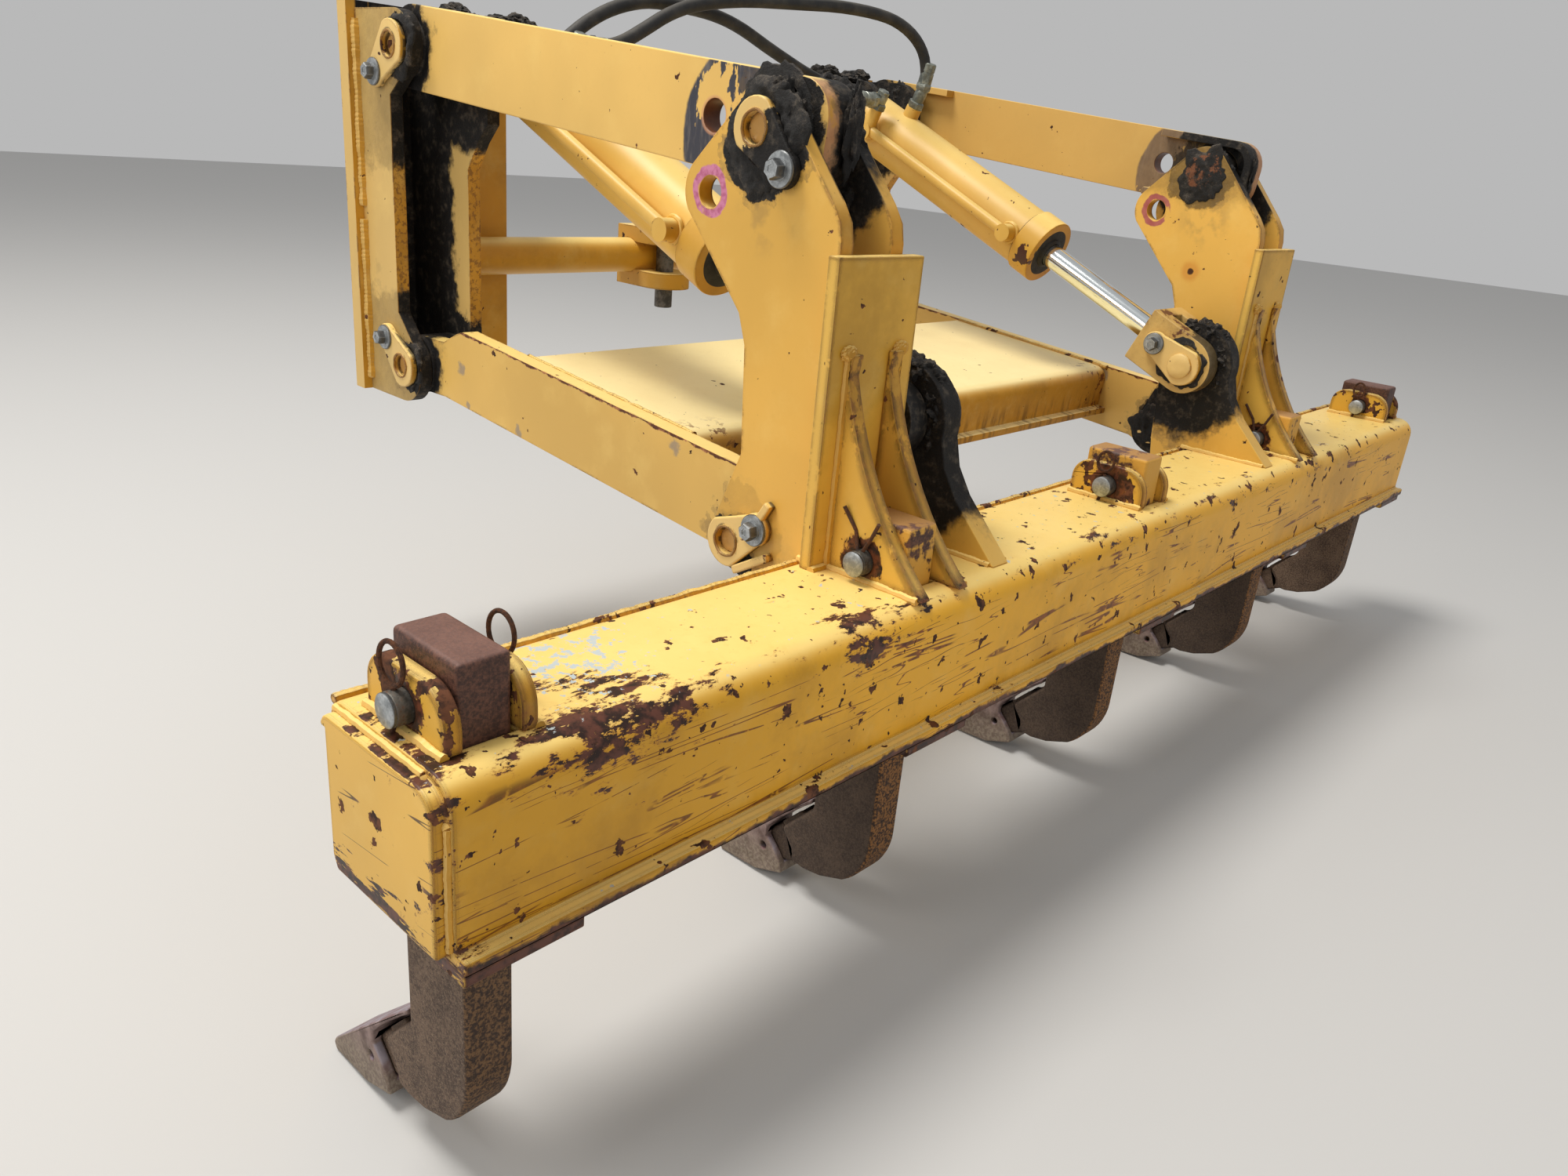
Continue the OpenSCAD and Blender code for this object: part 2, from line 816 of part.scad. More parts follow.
module barrel(x) {
    color(yellow) on_cylinder(x) difference() {
        union() {
            bar_x(0, eye_r, eye_w, [0, 0]);
            translate([-eye_w / 2, -barrel_start - 2, -eye_r + 4])
                cube([eye_w, barrel_start + 2, 2 * eye_r - 8]);
            bar_s(barrel_start, barrel_r, barrel_l - barrel_start);
            // Side tube from the side port's boss to the boss behind the gland
            translate([-side_tube_x, 0, side_rise]) bar_s(side_port_s, side_tube_r, side_end - side_port_s);
            rod_x(-boss_reach, port_r, boss_reach, [-side_port_s, 0]);
            rod_x(-boss_reach, port_r, boss_reach, [-side_end, side_rise]);
            translate([-side_tube_x, -side_port_s, 0]) cylinder(r = port_r - 3, h = side_port_v);
            translate([0, -top_port_s, 0]) cylinder(r = port_r, h = top_port_v);
        }
        bar_x(0, cyl_pin_r + pin_fit, 2 * eye_w, [0, 0]);
        bar_s(bore_start, bore_r, barrel_l);
    }
}

module barrel_left() {
    barrel(-cyl_x);
}

module barrel_right() {
    barrel(cyl_x);
}

module gland(x) {
    color(yellow) on_cylinder(x) difference() {
        bar_s(barrel_l, gland_r, gland_l);
        bar_s(barrel_l - 1, rod_r + pin_fit, gland_l + 2);
    }
}

module gland_left() {
    gland(-cyl_x);
}

module gland_right() {
    gland(cyl_x);
}

piston_at = barrel_l / 2 - 60;

module rod(x) {
    gap = lug_t + 2 * boss_fit + 2;
    slot_l = 2 * fork_r + lug_r + rod_play + 5;
    color(steel) on_cylinder(x) difference() {
        union() {
            bar_s(piston_at, bore_r - pin_fit, piston_l);
            bar_s(piston_at, rod_r, cyl_len - fork_l - piston_at + 4);
            plate(-fork_w / 2, fork_w, concat(
                [[-cyl_len + fork_l, -fork_r], [-cyl_len + fork_l, fork_r]],
                arc([-cyl_len, 0], fork_r, 90, 270, 18)
            ));
        }
        translate([-gap / 2, -cyl_len - 2 * fork_r, -2 * fork_r]) cube([gap, slot_l, 4 * fork_r]);
        bar_x(0, cyl_pin_r, 2 * fork_w, [-cyl_len, 0]);
    }
}

module rod_left() {
    left() rod(cyl_x);
}

module rod_right() {
    rod(cyl_x);
}

// Fittings on a cylinder's ports, the side one with a branch towards the other cylinder

side_fitting_l = 30;
top_fitting_l = 34;
branch_l = fitting_r + 6;

// Place in the part's frame of a point on a cylinder's middle plane
function on_axis(x, s, v) = [
    x,
    cyl_base[0] - s * cos(cyl_tilt) - v * sin(cyl_tilt),
    cyl_base[1] - s * sin(cyl_tilt) + v * cos(cyl_tilt)
];

// side is the way to the other cylinder: 1 or -1
module fittings(x, side) {
    color(steel) on_cylinder(x) {
        translate([-side_tube_x, -side_port_s, side_port_v]) {
            cylinder(r = fitting_r, h = side_fitting_l);
            translate([0, 0, side_fitting_l / 2]) rotate([0, side * 90, 0])
                cylinder(r = fitting_r, h = branch_l);
        }
        translate([0, -top_port_s, top_port_v]) {
            cylinder(r = fitting_r, h = top_fitting_l);
            if (side > 0)
                rod_x(0, fitting_r, branch_l, [0, top_fitting_l - fitting_r]);
        }
    }
}

module fittings_left() {
    fittings(-cyl_x, 1);
}

module fittings_right() {
    fittings(cyl_x, -1);
}

// Hoses between the cylinders, each along points chosen by hand between its two fittings

function unit(v) = v / norm(v);

// Smooth curve through the points p, straight at both ends, n steps between two points
function curve(p, n) = [
    for (i = [0:len(p) - 2], k = [0:n - 1])
        let (
            a = p[max(i - 1, 0)], b = p[i], c = p[i + 1], d = p[min(i + 2, len(p) - 1)], t = k / n,
            bend = 2 * a - 5 * b + 4 * c - d + (3 * b - 3 * c + d - a) * t
        )
        i == 0 || i == len(p) - 2 ? b + (c - b) * t : b + 0.5 * ((c - a) + bend * t) * t,
    p[len(p) - 1]
];

// Round tube along the points p, which run roughly in an XZ plane
module hose(p, sides = 12) {
    last = len(p) - 1;
    rings = [for (i = [0:last])
        let (
            t = unit(p[min(i + 1, last)] - p[max(i - 1, 0)]),
            u = unit(cross(t, [0, 1, 0])),
            v = cross(u, t)
        )
        for (k = [0:sides - 1]) p[i] + hose_r * (cos(360 * k / sides) * u + sin(360 * k / sides) * v)];
    polyhedron(rings, concat(
        [[for (k = [0:sides - 1]) k]],
        [for (i = [0:last - 1], k = [0:sides - 1])
            let (a = i * sides + k, b = i * sides + (k + 1) % sides) [a, a + sides, b + sides, b]],
        [[for (k = [sides - 1:-1:0]) last * sides + k]]
    ));
}

side_branch = side_port_v + side_fitting_l / 2;
top_branch = top_port_v + top_fitting_l - fitting_r;
top_end = top_port_v + top_fitting_l + 0.3;
hose_gap = branch_l + 0.3;
hose_straight = 12;

hose_side_points = concat(
    [for (d = [0, hose_straight]) on_axis(-cyl_x - side_tube_x + hose_gap + d, side_port_s, side_branch)],
    [[-412, -264, 237], [-385, -262, 256], [-350, -260, 280], [-310, -260, 301], [-265, -260, 316]],
    [[-220, -260, 323], [-140, -260, 323], [-85, -260, 318], [-35, -260, 307], [20, -260, 289]],
    [[65, -260, 275], [120, -260, 259], [180, -261, 245], [235, -262, 236], [280, -263, 231]],
    [for (d = [hose_straight, 0]) on_axis(cyl_x - side_tube_x - hose_gap - d, side_port_s, side_branch)]
);

hose_top_points = concat(
    [for (d = [0, hose_straight]) on_axis(-cyl_x + hose_gap + d, top_port_s, top_branch)],
    [[-340, -305, 251], [-310, -302, 262], [-272, -300, 282], [-230, -300, 305], [-175, -300, 325]],
    [[-80, -300, 343], [50, -300, 356], [160, -300, 365], [260, -300, 366], [325, -300, 358]],
    [[370, -305, 338], [392, -313, 308]],
    [for (d = [hose_straight, 0]) on_axis(cyl_x, top_port_s, top_end + d)]
);

module hose_side() {
    color(rubber) hose(curve(hose_side_points, 3));
}

module hose_top() {
    color(rubber) hose(curve(hose_top_points, 3));
}

module rod_pin(x) {
    color(yellow) on_cylinder(x) {
        bar_x(0, cyl_pin_r, fork_w + 2, [-cyl_len, 0]);
        plate(-fork_w / 2 - flag_t - 1, flag_t,
            belt([-cyl_len, 0], cyl_pin_r + 12, [-cyl_len + 58, 4], 20, 12));
    }
}

module rod_pin_left() {
    left() rod_pin(cyl_x);
}

module rod_pin_right() {
    rod_pin(cyl_x);
}

mount_left();
mount_right();
cross_tube();
hitch_clevis();
hitch_pin();
mount_pins_left();
mount_pins_right();
lower_arm_left();
lower_arm_right();
cross_box();
upper_arm_left();
upper_arm_right();
beam();
tower_left();
tower_right();
back_plates();
gussets_left();
gussets_right();
cylinder_bracket_left();
cylinder_bracket_right();
tower_pins_left();
tower_pins_right();
ears_left();
ears_middle();
ears_right();
shank_pins();
shank_1();
shank_2();
shank_3();
shank_4();
shank_5();
tip_1();
tip_2();
tip_3();
tip_4();
tip_5();
barrel_left();
barrel_right();
gland_left();
gland_right();
fittings_left();
fittings_right();
hose_top();
hose_side();
rod_left();
rod_right();
rod_pin_left();
rod_pin_right();
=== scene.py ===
from functools import partialmethod, reduce
from math import atan2, cos, pi, radians, sin

import bmesh
import bpy
from mathutils import Matrix, Vector, noise


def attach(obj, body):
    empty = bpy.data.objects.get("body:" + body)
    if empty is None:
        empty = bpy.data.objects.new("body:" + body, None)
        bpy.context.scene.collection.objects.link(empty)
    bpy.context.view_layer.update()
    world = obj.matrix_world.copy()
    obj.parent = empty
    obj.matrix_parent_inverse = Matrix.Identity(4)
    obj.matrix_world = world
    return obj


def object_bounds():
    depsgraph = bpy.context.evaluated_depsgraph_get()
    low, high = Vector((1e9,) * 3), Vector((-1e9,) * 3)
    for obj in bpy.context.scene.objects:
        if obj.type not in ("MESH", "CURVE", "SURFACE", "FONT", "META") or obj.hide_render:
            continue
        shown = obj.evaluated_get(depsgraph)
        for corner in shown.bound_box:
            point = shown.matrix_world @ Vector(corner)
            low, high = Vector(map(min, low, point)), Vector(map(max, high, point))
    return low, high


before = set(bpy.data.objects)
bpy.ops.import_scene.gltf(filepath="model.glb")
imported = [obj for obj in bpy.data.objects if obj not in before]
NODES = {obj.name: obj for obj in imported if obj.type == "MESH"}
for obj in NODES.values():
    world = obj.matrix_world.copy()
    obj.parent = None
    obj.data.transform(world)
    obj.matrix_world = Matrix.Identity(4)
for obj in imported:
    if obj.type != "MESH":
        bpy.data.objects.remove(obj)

CAD_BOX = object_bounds()
SIDES = (("left", -1), ("right", 1))
TAU = 2 * pi

# Pin centres in the frame, as (y, z) in metres
DROP = radians(5.3)
MOUNT_UP, MOUNT_LO = Vector((-0.132, 0.223)), Vector((-0.132, -0.223))
ARM_LEN = 0.725
ARM = Vector((-ARM_LEN * cos(DROP), -ARM_LEN * sin(DROP)))
TOWER_UP, TOWER_LO = MOUNT_UP + ARM, MOUNT_LO + ARM
ARM_X, CYL_X = 0.533, 0.400
BEAM_TOP = TOWER_LO.y + 0.008
BEAM_FRONT = TOWER_LO.x - 0.101
BEAM_REAR = BEAM_FRONT - 0.175
BEAM_LOW = BEAM_TOP - 0.154
PITCH = 0.533
ROD_PIN = Vector((TOWER_LO.x - 0.092, BEAM_TOP + 0.140))
TOWER_REAR = TOWER_LO.x - 0.122
BACK_REAR = TOWER_REAR - 0.016
SHANK_REAR = BEAM_REAR + 0.043
SHANK_FRONT = SHANK_REAR + 0.091
SHANK_PIN = Vector(((SHANK_REAR + SHANK_FRONT) / 2, BEAM_TOP + 0.0215))
RING = TOWER_UP + Vector((0.070, -0.068))
FLAG_X, FACE_X, INNER_X = 0.594, 0.584, 0.482  # flag plates, outer and inner faces of towers and mounts
SHARP = radians(35)
CYL_LEN = (ROD_PIN - MOUNT_UP).length
TILT = atan2(MOUNT_UP.y - ROD_PIN.y, MOUNT_UP.x - ROD_PIN.x)


def new_object(name, data):
    o = bpy.data.objects.new(name, data)
    bpy.context.collection.objects.link(o)
    return o


# Camera and light

CAMERA_AT = (-1.47876, -1.72797, 0.14846)
PHOTO_WIDTH, FOCAL_PX, SENSOR = 2000, 1446.355, 36


def make_camera():
    yaw, pitch, roll = 0.850231, -0.376162, 0.09152
    fwd = Vector((sin(yaw) * cos(pitch), cos(yaw) * cos(pitch), sin(pitch)))
    right = Vector((cos(yaw), -sin(yaw), 0))
    up = right.cross(fwd)
    r = cos(roll) * right + sin(roll) * up
    u = -sin(roll) * right + cos(roll) * up
    cam = new_object("camera", bpy.data.cameras.new("camera"))
    m = Matrix((r, u, -fwd)).transposed().to_4x4()
    m.translation = CAMERA_AT
    cam.matrix_world = m
    cam.data.sensor_width = SENSOR
    cam.data.lens = SENSOR * FOCAL_PX / PHOTO_WIDTH
    cam.data.clip_end = 100
    bpy.context.scene.camera = cam


def area_light(name, place, target, size, power, colour):
    data = bpy.data.lights.new(name, "AREA")
    data.shape, data.size, data.energy, data.color = "DISK", size, power, colour
    lamp = new_object(name, data)
    lamp.location = place
    lamp.rotation_euler = (Vector(target) - Vector(place)).to_track_quat("-Z", "Y").to_euler()


def make_light():
    world = bpy.data.worlds.new("studio")
    bpy.context.scene.world = world
    world.use_nodes = True
    bg = world.node_tree.nodes["Background"]
    bg.inputs["Color"].default_value = (0.97, 0.97, 0.97, 1)
    bg.inputs["Strength"].default_value = 0.5
    area_light("key", (-1.9, 0.9, 5.4), (0, -0.7, -0.3), 2.4, 318, (1.0, 0.97, 0.92))
    area_light("left", (-3.3, 0.0, 1.4), (-0.4, -0.7, -0.1), 1.7, 28, (1.0, 0.97, 0.92))
    area_light("fill", (-1.2, -5.2, 2.2), (0, -0.6, -0.2), 3.0, 16, (1.0, 0.98, 0.95))


def make_floor():
    lo = CAD_BOX[0].z
    me = bpy.data.meshes.new("floor")
    s = 14  # half its width
    me.from_pydata([(-s, -s, lo), (s, -s, lo), (s, s, lo), (-s, s, lo)], [], [(0, 1, 2, 3)])
    floor = new_object("floor", me)
    mat = bpy.data.materials.new("floor")
    mat.use_nodes = True
    b = mat.node_tree.nodes["Principled BSDF"]
    b.inputs["Base Color"].default_value = (0.56, 0.555, 0.545, 1)
    b.inputs["Roughness"].default_value = 0.9
    me.materials.append(mat)


# Materials

def srgb(r, g, b):
    f = lambda c: c / 12.92 if c <= 0.04045 else ((c + 0.055) / 1.055) ** 2.4
    return (f(r / 255), f(g / 255), f(b / 255), 1)


class Nodes:
    """A short way to write a material's node tree."""

    def __init__(self, name):
        self.mat = bpy.data.materials.new(name)
        self.mat.use_nodes = True
        self.tree = self.mat.node_tree
        self.bsdf = self.tree.nodes["Principled BSDF"]
        tex = self.new("TexCoord")
        self.co = tex.outputs["Object"]
        self.x, self.y, self.z = self.new("SeparateXYZ", Vector=self.co).outputs
        self.nx, self.ny, self.nz = self.new("SeparateXYZ", Vector=tex.outputs["Normal"]).outputs
        self.ax = self.abs(self.x)
        self.side = self.step(self.abs(self.nx), 0.75, 0.9)

    def new(self, kind, **inputs):
        n = self.tree.nodes.new("ShaderNode" + kind)
        for k, v in inputs.items():
            self.put(n.inputs[k.replace("_", " ")], v)
        return n

    def put(self, socket, v):
        if isinstance(v, bpy.types.NodeSocket):
            self.tree.links.new(v, socket)
        else:
            socket.default_value = v

    def math(self, op, a, b=0.0, clamp=False):
        n = self.new("Math")
        n.operation, n.use_clamp = op, clamp
        self.put(n.inputs[0], a)
        self.put(n.inputs[1], b)
        return n.outputs[0]

    mul = partialmethod(math, "MULTIPLY")
    add = partialmethod(math, "ADD")
    sub = partialmethod(math, "SUBTRACT")
    top = partialmethod(math, "MAXIMUM")
    abs = partialmethod(math, "ABSOLUTE")

    def plus(self, a, b, k):
        """a + k * b"""
        return self.add(a, self.mul(b, k))

    def flip(self, a):
        return self.sub(1.0, a)

    def noise(self, scale, detail=4.0, rough=0.55, stretch=(1, 1, 1), w=0.0, turn=0.0):
        m = self.new("Mapping", Vector=self.co, Scale=stretch, Location=(w, w * 0.7, -w))
        if turn:
            first = self.new("Mapping", Vector=self.co, Rotation=(turn * 9, turn, 0))
            self.put(m.inputs["Vector"], first.outputs[0])
        n = self.new("TexNoise", Vector=m.outputs[0], Scale=scale, Detail=detail, Roughness=rough)
        return n.outputs["Fac"]

    def step(self, v, lo, hi):
        n = self.new("MapRange", Value=v, From_Min=lo, From_Max=hi)
        n.interpolation_type = "SMOOTHSTEP"
        return n.outputs[0]

    def fleck(self, lo, hi, *args, **kinds):
        """Noise that rises from 0 to 1 between lo and hi."""
        return self.step(self.noise(*args, **kinds), lo, hi)

    def wave(self, size, *args, **kinds):
        """Noise about 0, to make a rim uneven."""
        return self.mul(self.sub(self.noise(*args, **kinds), 0.5), size)

    def rear(self, lo, hi):
        """Rises as a face turns to the rear."""
        return self.step(self.flip(self.ny), lo, hi)

    def right(self):
        return self.step(self.x, 0, 0.1)

    def left(self):
        return self.step(self.x, 0, -0.1)

    def ramp(self, v, lo, hi, a, b):
        """From the colour a to b as v goes from lo to hi."""
        return self.mix(self.step(v, lo, hi), a, b)

    def over(self, under, colour, *masks):
        """A colour laid over another where all the masks meet."""
        return self.mix(self.all(*masks), under, colour)

    def mix(self, fac, a, b):
        """Colours are nodes, linear (r, g, b, 1) or triples up to 255."""
        n = self.new("Mix", Factor=fac)
        n.data_type = "RGBA"
        for i, v in ((6, a), (7, b)):
            self.put(n.inputs[i], srgb(*v) if isinstance(v, tuple) and len(v) == 3 else v)
        return n.outputs[2]

    def edge(self, radius):
        """About 1 on an edge sharper than the radius, 0 on a flat face."""
        b, g, d = self.new("Bevel", Radius=radius), self.new("NewGeometry"), self.new("VectorMath")
        b.samples, d.operation = 4, "DOT_PRODUCT"
        self.put(d.inputs[0], b.outputs[0])
        self.put(d.inputs[1], g.outputs["True Normal"])
        return self.math("SUBTRACT", 1.0, d.outputs["Value"], clamp=True)

    def away(self, point, dy=0.0, dz=0.0):
        """Distance from a point; a point of two numbers stands for a line along X, moved by dy and dz."""
        n = self.new("VectorMath")
        n.operation, place = "DISTANCE", self.co
        if len(point) == 2:
            place = self.new("CombineXYZ", Y=self.y, Z=self.z).outputs[0]
            point = (0, point[0] + dy, point[1] + dz)
        self.put(n.inputs[0], place)
        n.inputs[1].default_value = point
        return n.outputs["Value"]

    def disc(self, pin, dy, dz, r, spread, soft=0.94):
        """1 inside a circle about a pin's centre moved by dy and dz, or in a ball about a point."""
        return self.step(self.add(self.away(pin, dy, dz), spread), r, r * soft)

    def band(self, v, lo, hi, soft=0.002):
        return self.mul(self.step(v, lo - soft, lo + soft), self.step(v, hi + soft, hi - soft))

    def any(self, *masks):
        return reduce(self.top, masks)

    def all(self, *masks):
        return reduce(self.mul, masks)

    def finish(self, colour, rough, height, distance, metal=0.0, strength=0.6, shine=0.5):
        for key, v in (("Base Color", colour), ("Roughness", rough), ("Metallic", metal),
                       ("Specular IOR Level", shine)):
            self.put(self.bsdf.inputs[key], v)
        b = self.new("Bump", Height=height, Distance=distance, Strength=strength)
        self.put(self.bsdf.inputs["Normal"], b.outputs[0])
        return self.mat


YELLOW = (232, 182, 86)
# PALE is laid on upward faces: dust and painted top light
PALE = (244, 212, 128)
# DEEP is laid on rear faces: painted shade
DEEP = (206, 147, 34)
RUST_DARK, RUST_MID, RUST_LIGHT = (52, 30, 20), (98, 58, 34), (158, 96, 40)
GREASE, GREASE_DUST = (17, 14, 12), (72, 64, 54)
SLATE = (62, 62, 70)
PINK = (204, 128, 160)


def paint(name, base, wear, chips, scratches=0.0, grease=None, extra=None, rear=DEEP, dust_and_top_light=PALE, edge=0.006):
    """Old yellow paint, worn through to rust.

    extra(m, colour) adds a piece's own marks, and grease(m, spread) gives the mask of its grease, which in the
    gaps of the mount and towers also holds painted shade.
    """
    m = Nodes(name)
    base, rear, dust_and_top_light = srgb(*base), srgb(*rear), srgb(*dust_and_top_light)
    big, mid, fine = m.noise(2.7, 3), m.noise(15, 5, 0.6), m.noise(95, 4, 0.65)
    speck, tiny = m.noise(38, 4, 0.55, w=4.4), m.noise(120, 3, 0.5, w=7.7)
    dark = tuple(c * 0.80 for c in base[:3]) + (1,)
    col = m.ramp(big, 0.28, 0.70, dark, base)
    # Upward faces turn pale: dust and painted light on the tops
    col = m.over(col, dust_and_top_light, m.step(m.nz, 0.35, 0.95), m.plus(0.55, mid, 0.6))
    # Rear faces take the darker rear colour, flecked darker still: painted shade and stains
    shaded_rear_and_stains = tuple(c * k for c, k in zip(rear, (0.70, 0.68, 0.60))) + (1,)
    shaded_rear_and_stains = m.mix(m.fleck(0.42, 0.66, 5, 6, 0.66, w=31), rear, shaded_rear_and_stains)
    col = m.over(col, shaded_rear_and_stains, m.rear(1.5, 1.95), 0.9)
    col = m.over(col, dust_and_top_light, m.step(mid, 0.50, 0.78), 0.22)
    col = m.over(col, dark, m.step(fine, 0.52, 0.75), 0.16)
    if scratches:
        behind = m.mul(m.rear(1.88, 1.98), scratches)
        few = m.mul(m.step(m.x, -0.85, -0.35), 0.060)
        for scale, turn, w, thin in ((4.5, 0.06, 3.3, 0.013), (6.0, -0.05, 7.1, 0.014), (9.0, 0.11, 1.7, 0.013),
                                     (7.0, -0.02, 9.4, 0.013)):
            s = m.noise(scale, 1.0, 0.4, stretch=(0.2, 9, 9), w=w, turn=turn)
            cut = m.step(m.abs(m.sub(s, 0.5)), thin, thin * 0.45)
            keep = m.sub(m.noise(4.5, 3, 0.6, w=w + 1, stretch=(1, 1, 2)), few)
            cut = m.all(cut, m.step(keep, 0.515, 0.545), m.fleck(0.34, 0.42, 60, 3, w=w), behind)
            col = m.mix(cut, col, m.ramp(tiny, 0.4, 0.6, (84, 32, 12), (128, 62, 18)))
    if extra:
        col = extra(m, col)
    edges = m.step(m.edge(edge), 0.015, 0.17)
    worn = m.plus(m.plus(m.mul(edges, 0.17 + 0.36 * wear), mid, 0.7), fine, 0.35)
    limit = 0.93 - 0.16 * wear
    halo = m.step(worn, limit - 0.10, limit + 0.01)
    col = m.over(col, RUST_LIGHT, halo, 0.42)
    chip = m.step(worn, limit, limit + 0.025)
    dots = m.step(m.plus(speck, big, 0.12 * chips), 0.745 - 0.05 * chips, 0.757 - 0.05 * chips)
    dots = m.top(dots, m.step(m.plus(tiny, big, 0.10), 0.80 - 0.035 * chips, 0.815 - 0.035 * chips))
    chip = m.top(chip, dots)
    rust = m.ramp(fine, 0.38, 0.62, RUST_DARK, m.ramp(mid, 0.4, 0.6, RUST_MID, (116, 72, 48)))
    col = m.mix(chip, col, rust)
    rough = m.plus(0.40, m.top(chip, m.mul(halo, 0.4)), 0.40)
    height = m.sub(m.mul(mid, 0.3), chip)
    if grease:
        spread = m.mul(m.sub(m.plus(m.noise(24, 5, 0.62, w=5), fine, 0.3), 0.65), 0.055)
        g = grease(m, spread)
        tone = m.mix(m.fleck(0.48, 0.70, 60, 5, 0.7, w=9), GREASE, GREASE_DUST)
        smear = grease(m, m.sub(m.mul(spread, 2.2), 0.010))
        film = m.fleck(0.36, 0.68, 30, 6, 0.72, w=13)
        col = m.over(col, (104, 86, 62), smear, film, 0.62)
        col = m.mix(g, col, tone)
        rough = m.plus(rough, g, 0.25)
        height = m.plus(height, g, m.mul(m.noise(300, 4, 0.7), 2.2))
    return m.finish(col, rough, height, 0.0011, shine=0.32)


def steel(name, dark, light, rust, rough, metal, scale=60, flank=0.0):
    """Bare steel, dull and spotted with rust; flank darkens the faces round a bolt as painted shade."""
    m = Nodes(name)
    dark, light = srgb(*dark), srgb(*light)
    big, mid, fine = m.noise(5, 3, w=2), m.noise(scale, 5, 0.65), m.noise(scale * 5, 3, 0.7)
    col = m.ramp(m.plus(m.mul(mid, 0.7), fine, 0.3), 0.38, 0.62, dark, light)
    spots = m.step(m.plus(m.plus(m.mul(mid, 0.5), big, 0.35), fine, 0.25), 0.68 - 0.3 * rust, 0.80 - 0.3 * rust)
    col = m.over(col, m.ramp(fine, 0.4, 0.6, RUST_DARK, RUST_MID), spots, 0.85)
    # Faces that don't face along X are darkened: painted shade that brings out a bolt's hexagon
    col = m.over(col, (40, 38, 36), m.flip(m.side), flank)
    edges = m.step(m.edge(0.003), 0.03, 0.3)
    col = m.over(col, tuple(min(1, c * 1.5 + 0.03) for c in light[:3]) + (1,), edges, 0.35)
    return m.finish(col, m.plus(rough, spots, 0.25), m.plus(mid, fine, 0.6), 0.0008, metal, 0.5)


# Marks of single pieces

def mount_marks(m, col):
    """Brown specks on the cheeks' rear edges."""
    edge = m.mul(m.rear(1.5, 1.9), m.step(m.y, -0.05, -0.07))
    specks = m.fleck(0.50, 0.58, 150, 5, 0.72, w=6)
    return m.over(col, m.mix(m.noise(60, 3), (70, 44, 26), (150, 100, 52)), edge, specks, 0.7)


def tower_marks(m, col):
    """Paint rings round the spare holes, a halo on the right tower and grime under the pins."""
    wave = m.wave(0.012, 40, 3, w=3)
    d = m.add(m.away(RING), wave)
    ring = m.all(m.step(d, 0.0275, 0.0255), m.step(d, 0.0165, 0.0185), m.side)
    gap = m.fleck(0.30, 0.36, 30, 3, w=6)
    tone = m.mix(m.fleck(0.4, 0.65, 120, 3), PINK, (178, 96, 128))
    tone = m.mix(m.right(), tone, m.mix(m.noise(90), (150, 60, 60), (190, 120, 110)))
    col = m.over(col, tone, ring, gap, m.step(m.x, -0.58, -0.581))
    col = m.over(col, tone, ring, gap, m.band(m.x, 0.40, 0.49))
    halo = m.plus(m.away((0.482, -0.868, -0.004)), wave, 0.8)
    col = m.over(col, (204, 128, 44), m.step(halo, 0.022, 0.010), 0.55)
    col = m.ramp(halo, 0.006, 0.004, col, (70, 40, 22))
    smudge = m.mul(m.disc(TOWER_UP, -0.02, -0.075, 0.06, wave, 0.3), m.fleck(0.45, 0.65, 30, 4, w=8))
    return m.over(col, (120, 100, 70), smudge, 0.35)


def upper_arm_marks(m, col):
    """The slate patch where the tower's lobe rubs, with yellow left in it, and the reddish wrap strip."""
    wave = m.wave(0.016, 14, 4, w=2)
    d = m.add(m.away(TOWER_UP, 0.045, -0.012), wave)
    patch = m.mul(m.step(d, 0.103, 0.099), m.side)
    # The right arm is darkened: painted shade
    col = m.over(col, (140, 98, 44), m.right(), 0.32)
    left = m.fleck(0.575, 0.59, 19, 5, 0.62, w=8, stretch=(1, 1.4, 0.6))
    tone = m.mix(m.fleck(0.45, 0.68, 34, 4, 0.7, stretch=(1, 3, 0.5)), SLATE, (104, 98, 96))
    tone = m.over(tone, m.mix(m.noise(40, 5, 0.7), (96, 72, 50), (176, 142, 96)), m.right(), 0.65)
    col = m.over(col, tone, patch, m.flip(left))
    hole = m.away(TOWER_UP, 0.098, 0.009)
    # A pale ring on the left arm's hole rim: painted highlight
    rim = m.all(m.step(hole, 0.0215, 0.0190), m.left(), m.side)
    col = m.over(col, (206, 150, 112), rim, 0.6)
    bore = m.mix(m.noise(60), (50, 30, 22), (150, 92, 56))
    col = m.over(col, bore, m.step(hole, 0.0190, 0.0180), m.flip(m.side))
    end = m.mul(m.step(m.y, -0.885, -0.900), m.step(m.abs(m.nx), 0.7, 0.4))
    strip = m.mul(end, m.fleck(0.30, 0.42, 22, 4))
    col = m.over(col, m.mix(m.noise(55, 4), (140, 84, 62), (206, 156, 116)), strip, 0.8)
    return col


def lower_arm_marks(m, col):
    """Rubbed bluish spots, and a rusty seam along the top edge."""
    out = col
    for at, r in (((-0.245, -0.21), 0.011), ((-0.262, -0.262), 0.008),
                  ((-0.39, -0.272), 0.009), ((-0.72, -0.215), 0.012)):
        wave = m.wave(0.02, 90, 3)
        out = m.over(out, (112, 112, 120), m.step(m.add(m.away(at), wave), r, r * 0.5), 0.6)
    n = m.sub(m.mul(m.sub(m.z, MOUNT_LO.y), cos(DROP)), m.mul(m.sub(m.y, MOUNT_LO.x), sin(DROP)))
    seam = m.add(n, m.wave(0.016, 34, 5, 0.65, w=12))
    tone = m.mix(m.fleck(0.45, 0.65, 70, 4), (84, 42, 20), (176, 118, 78))
    return m.over(out, tone, m.step(seam, 0.0742, 0.0756), m.side)


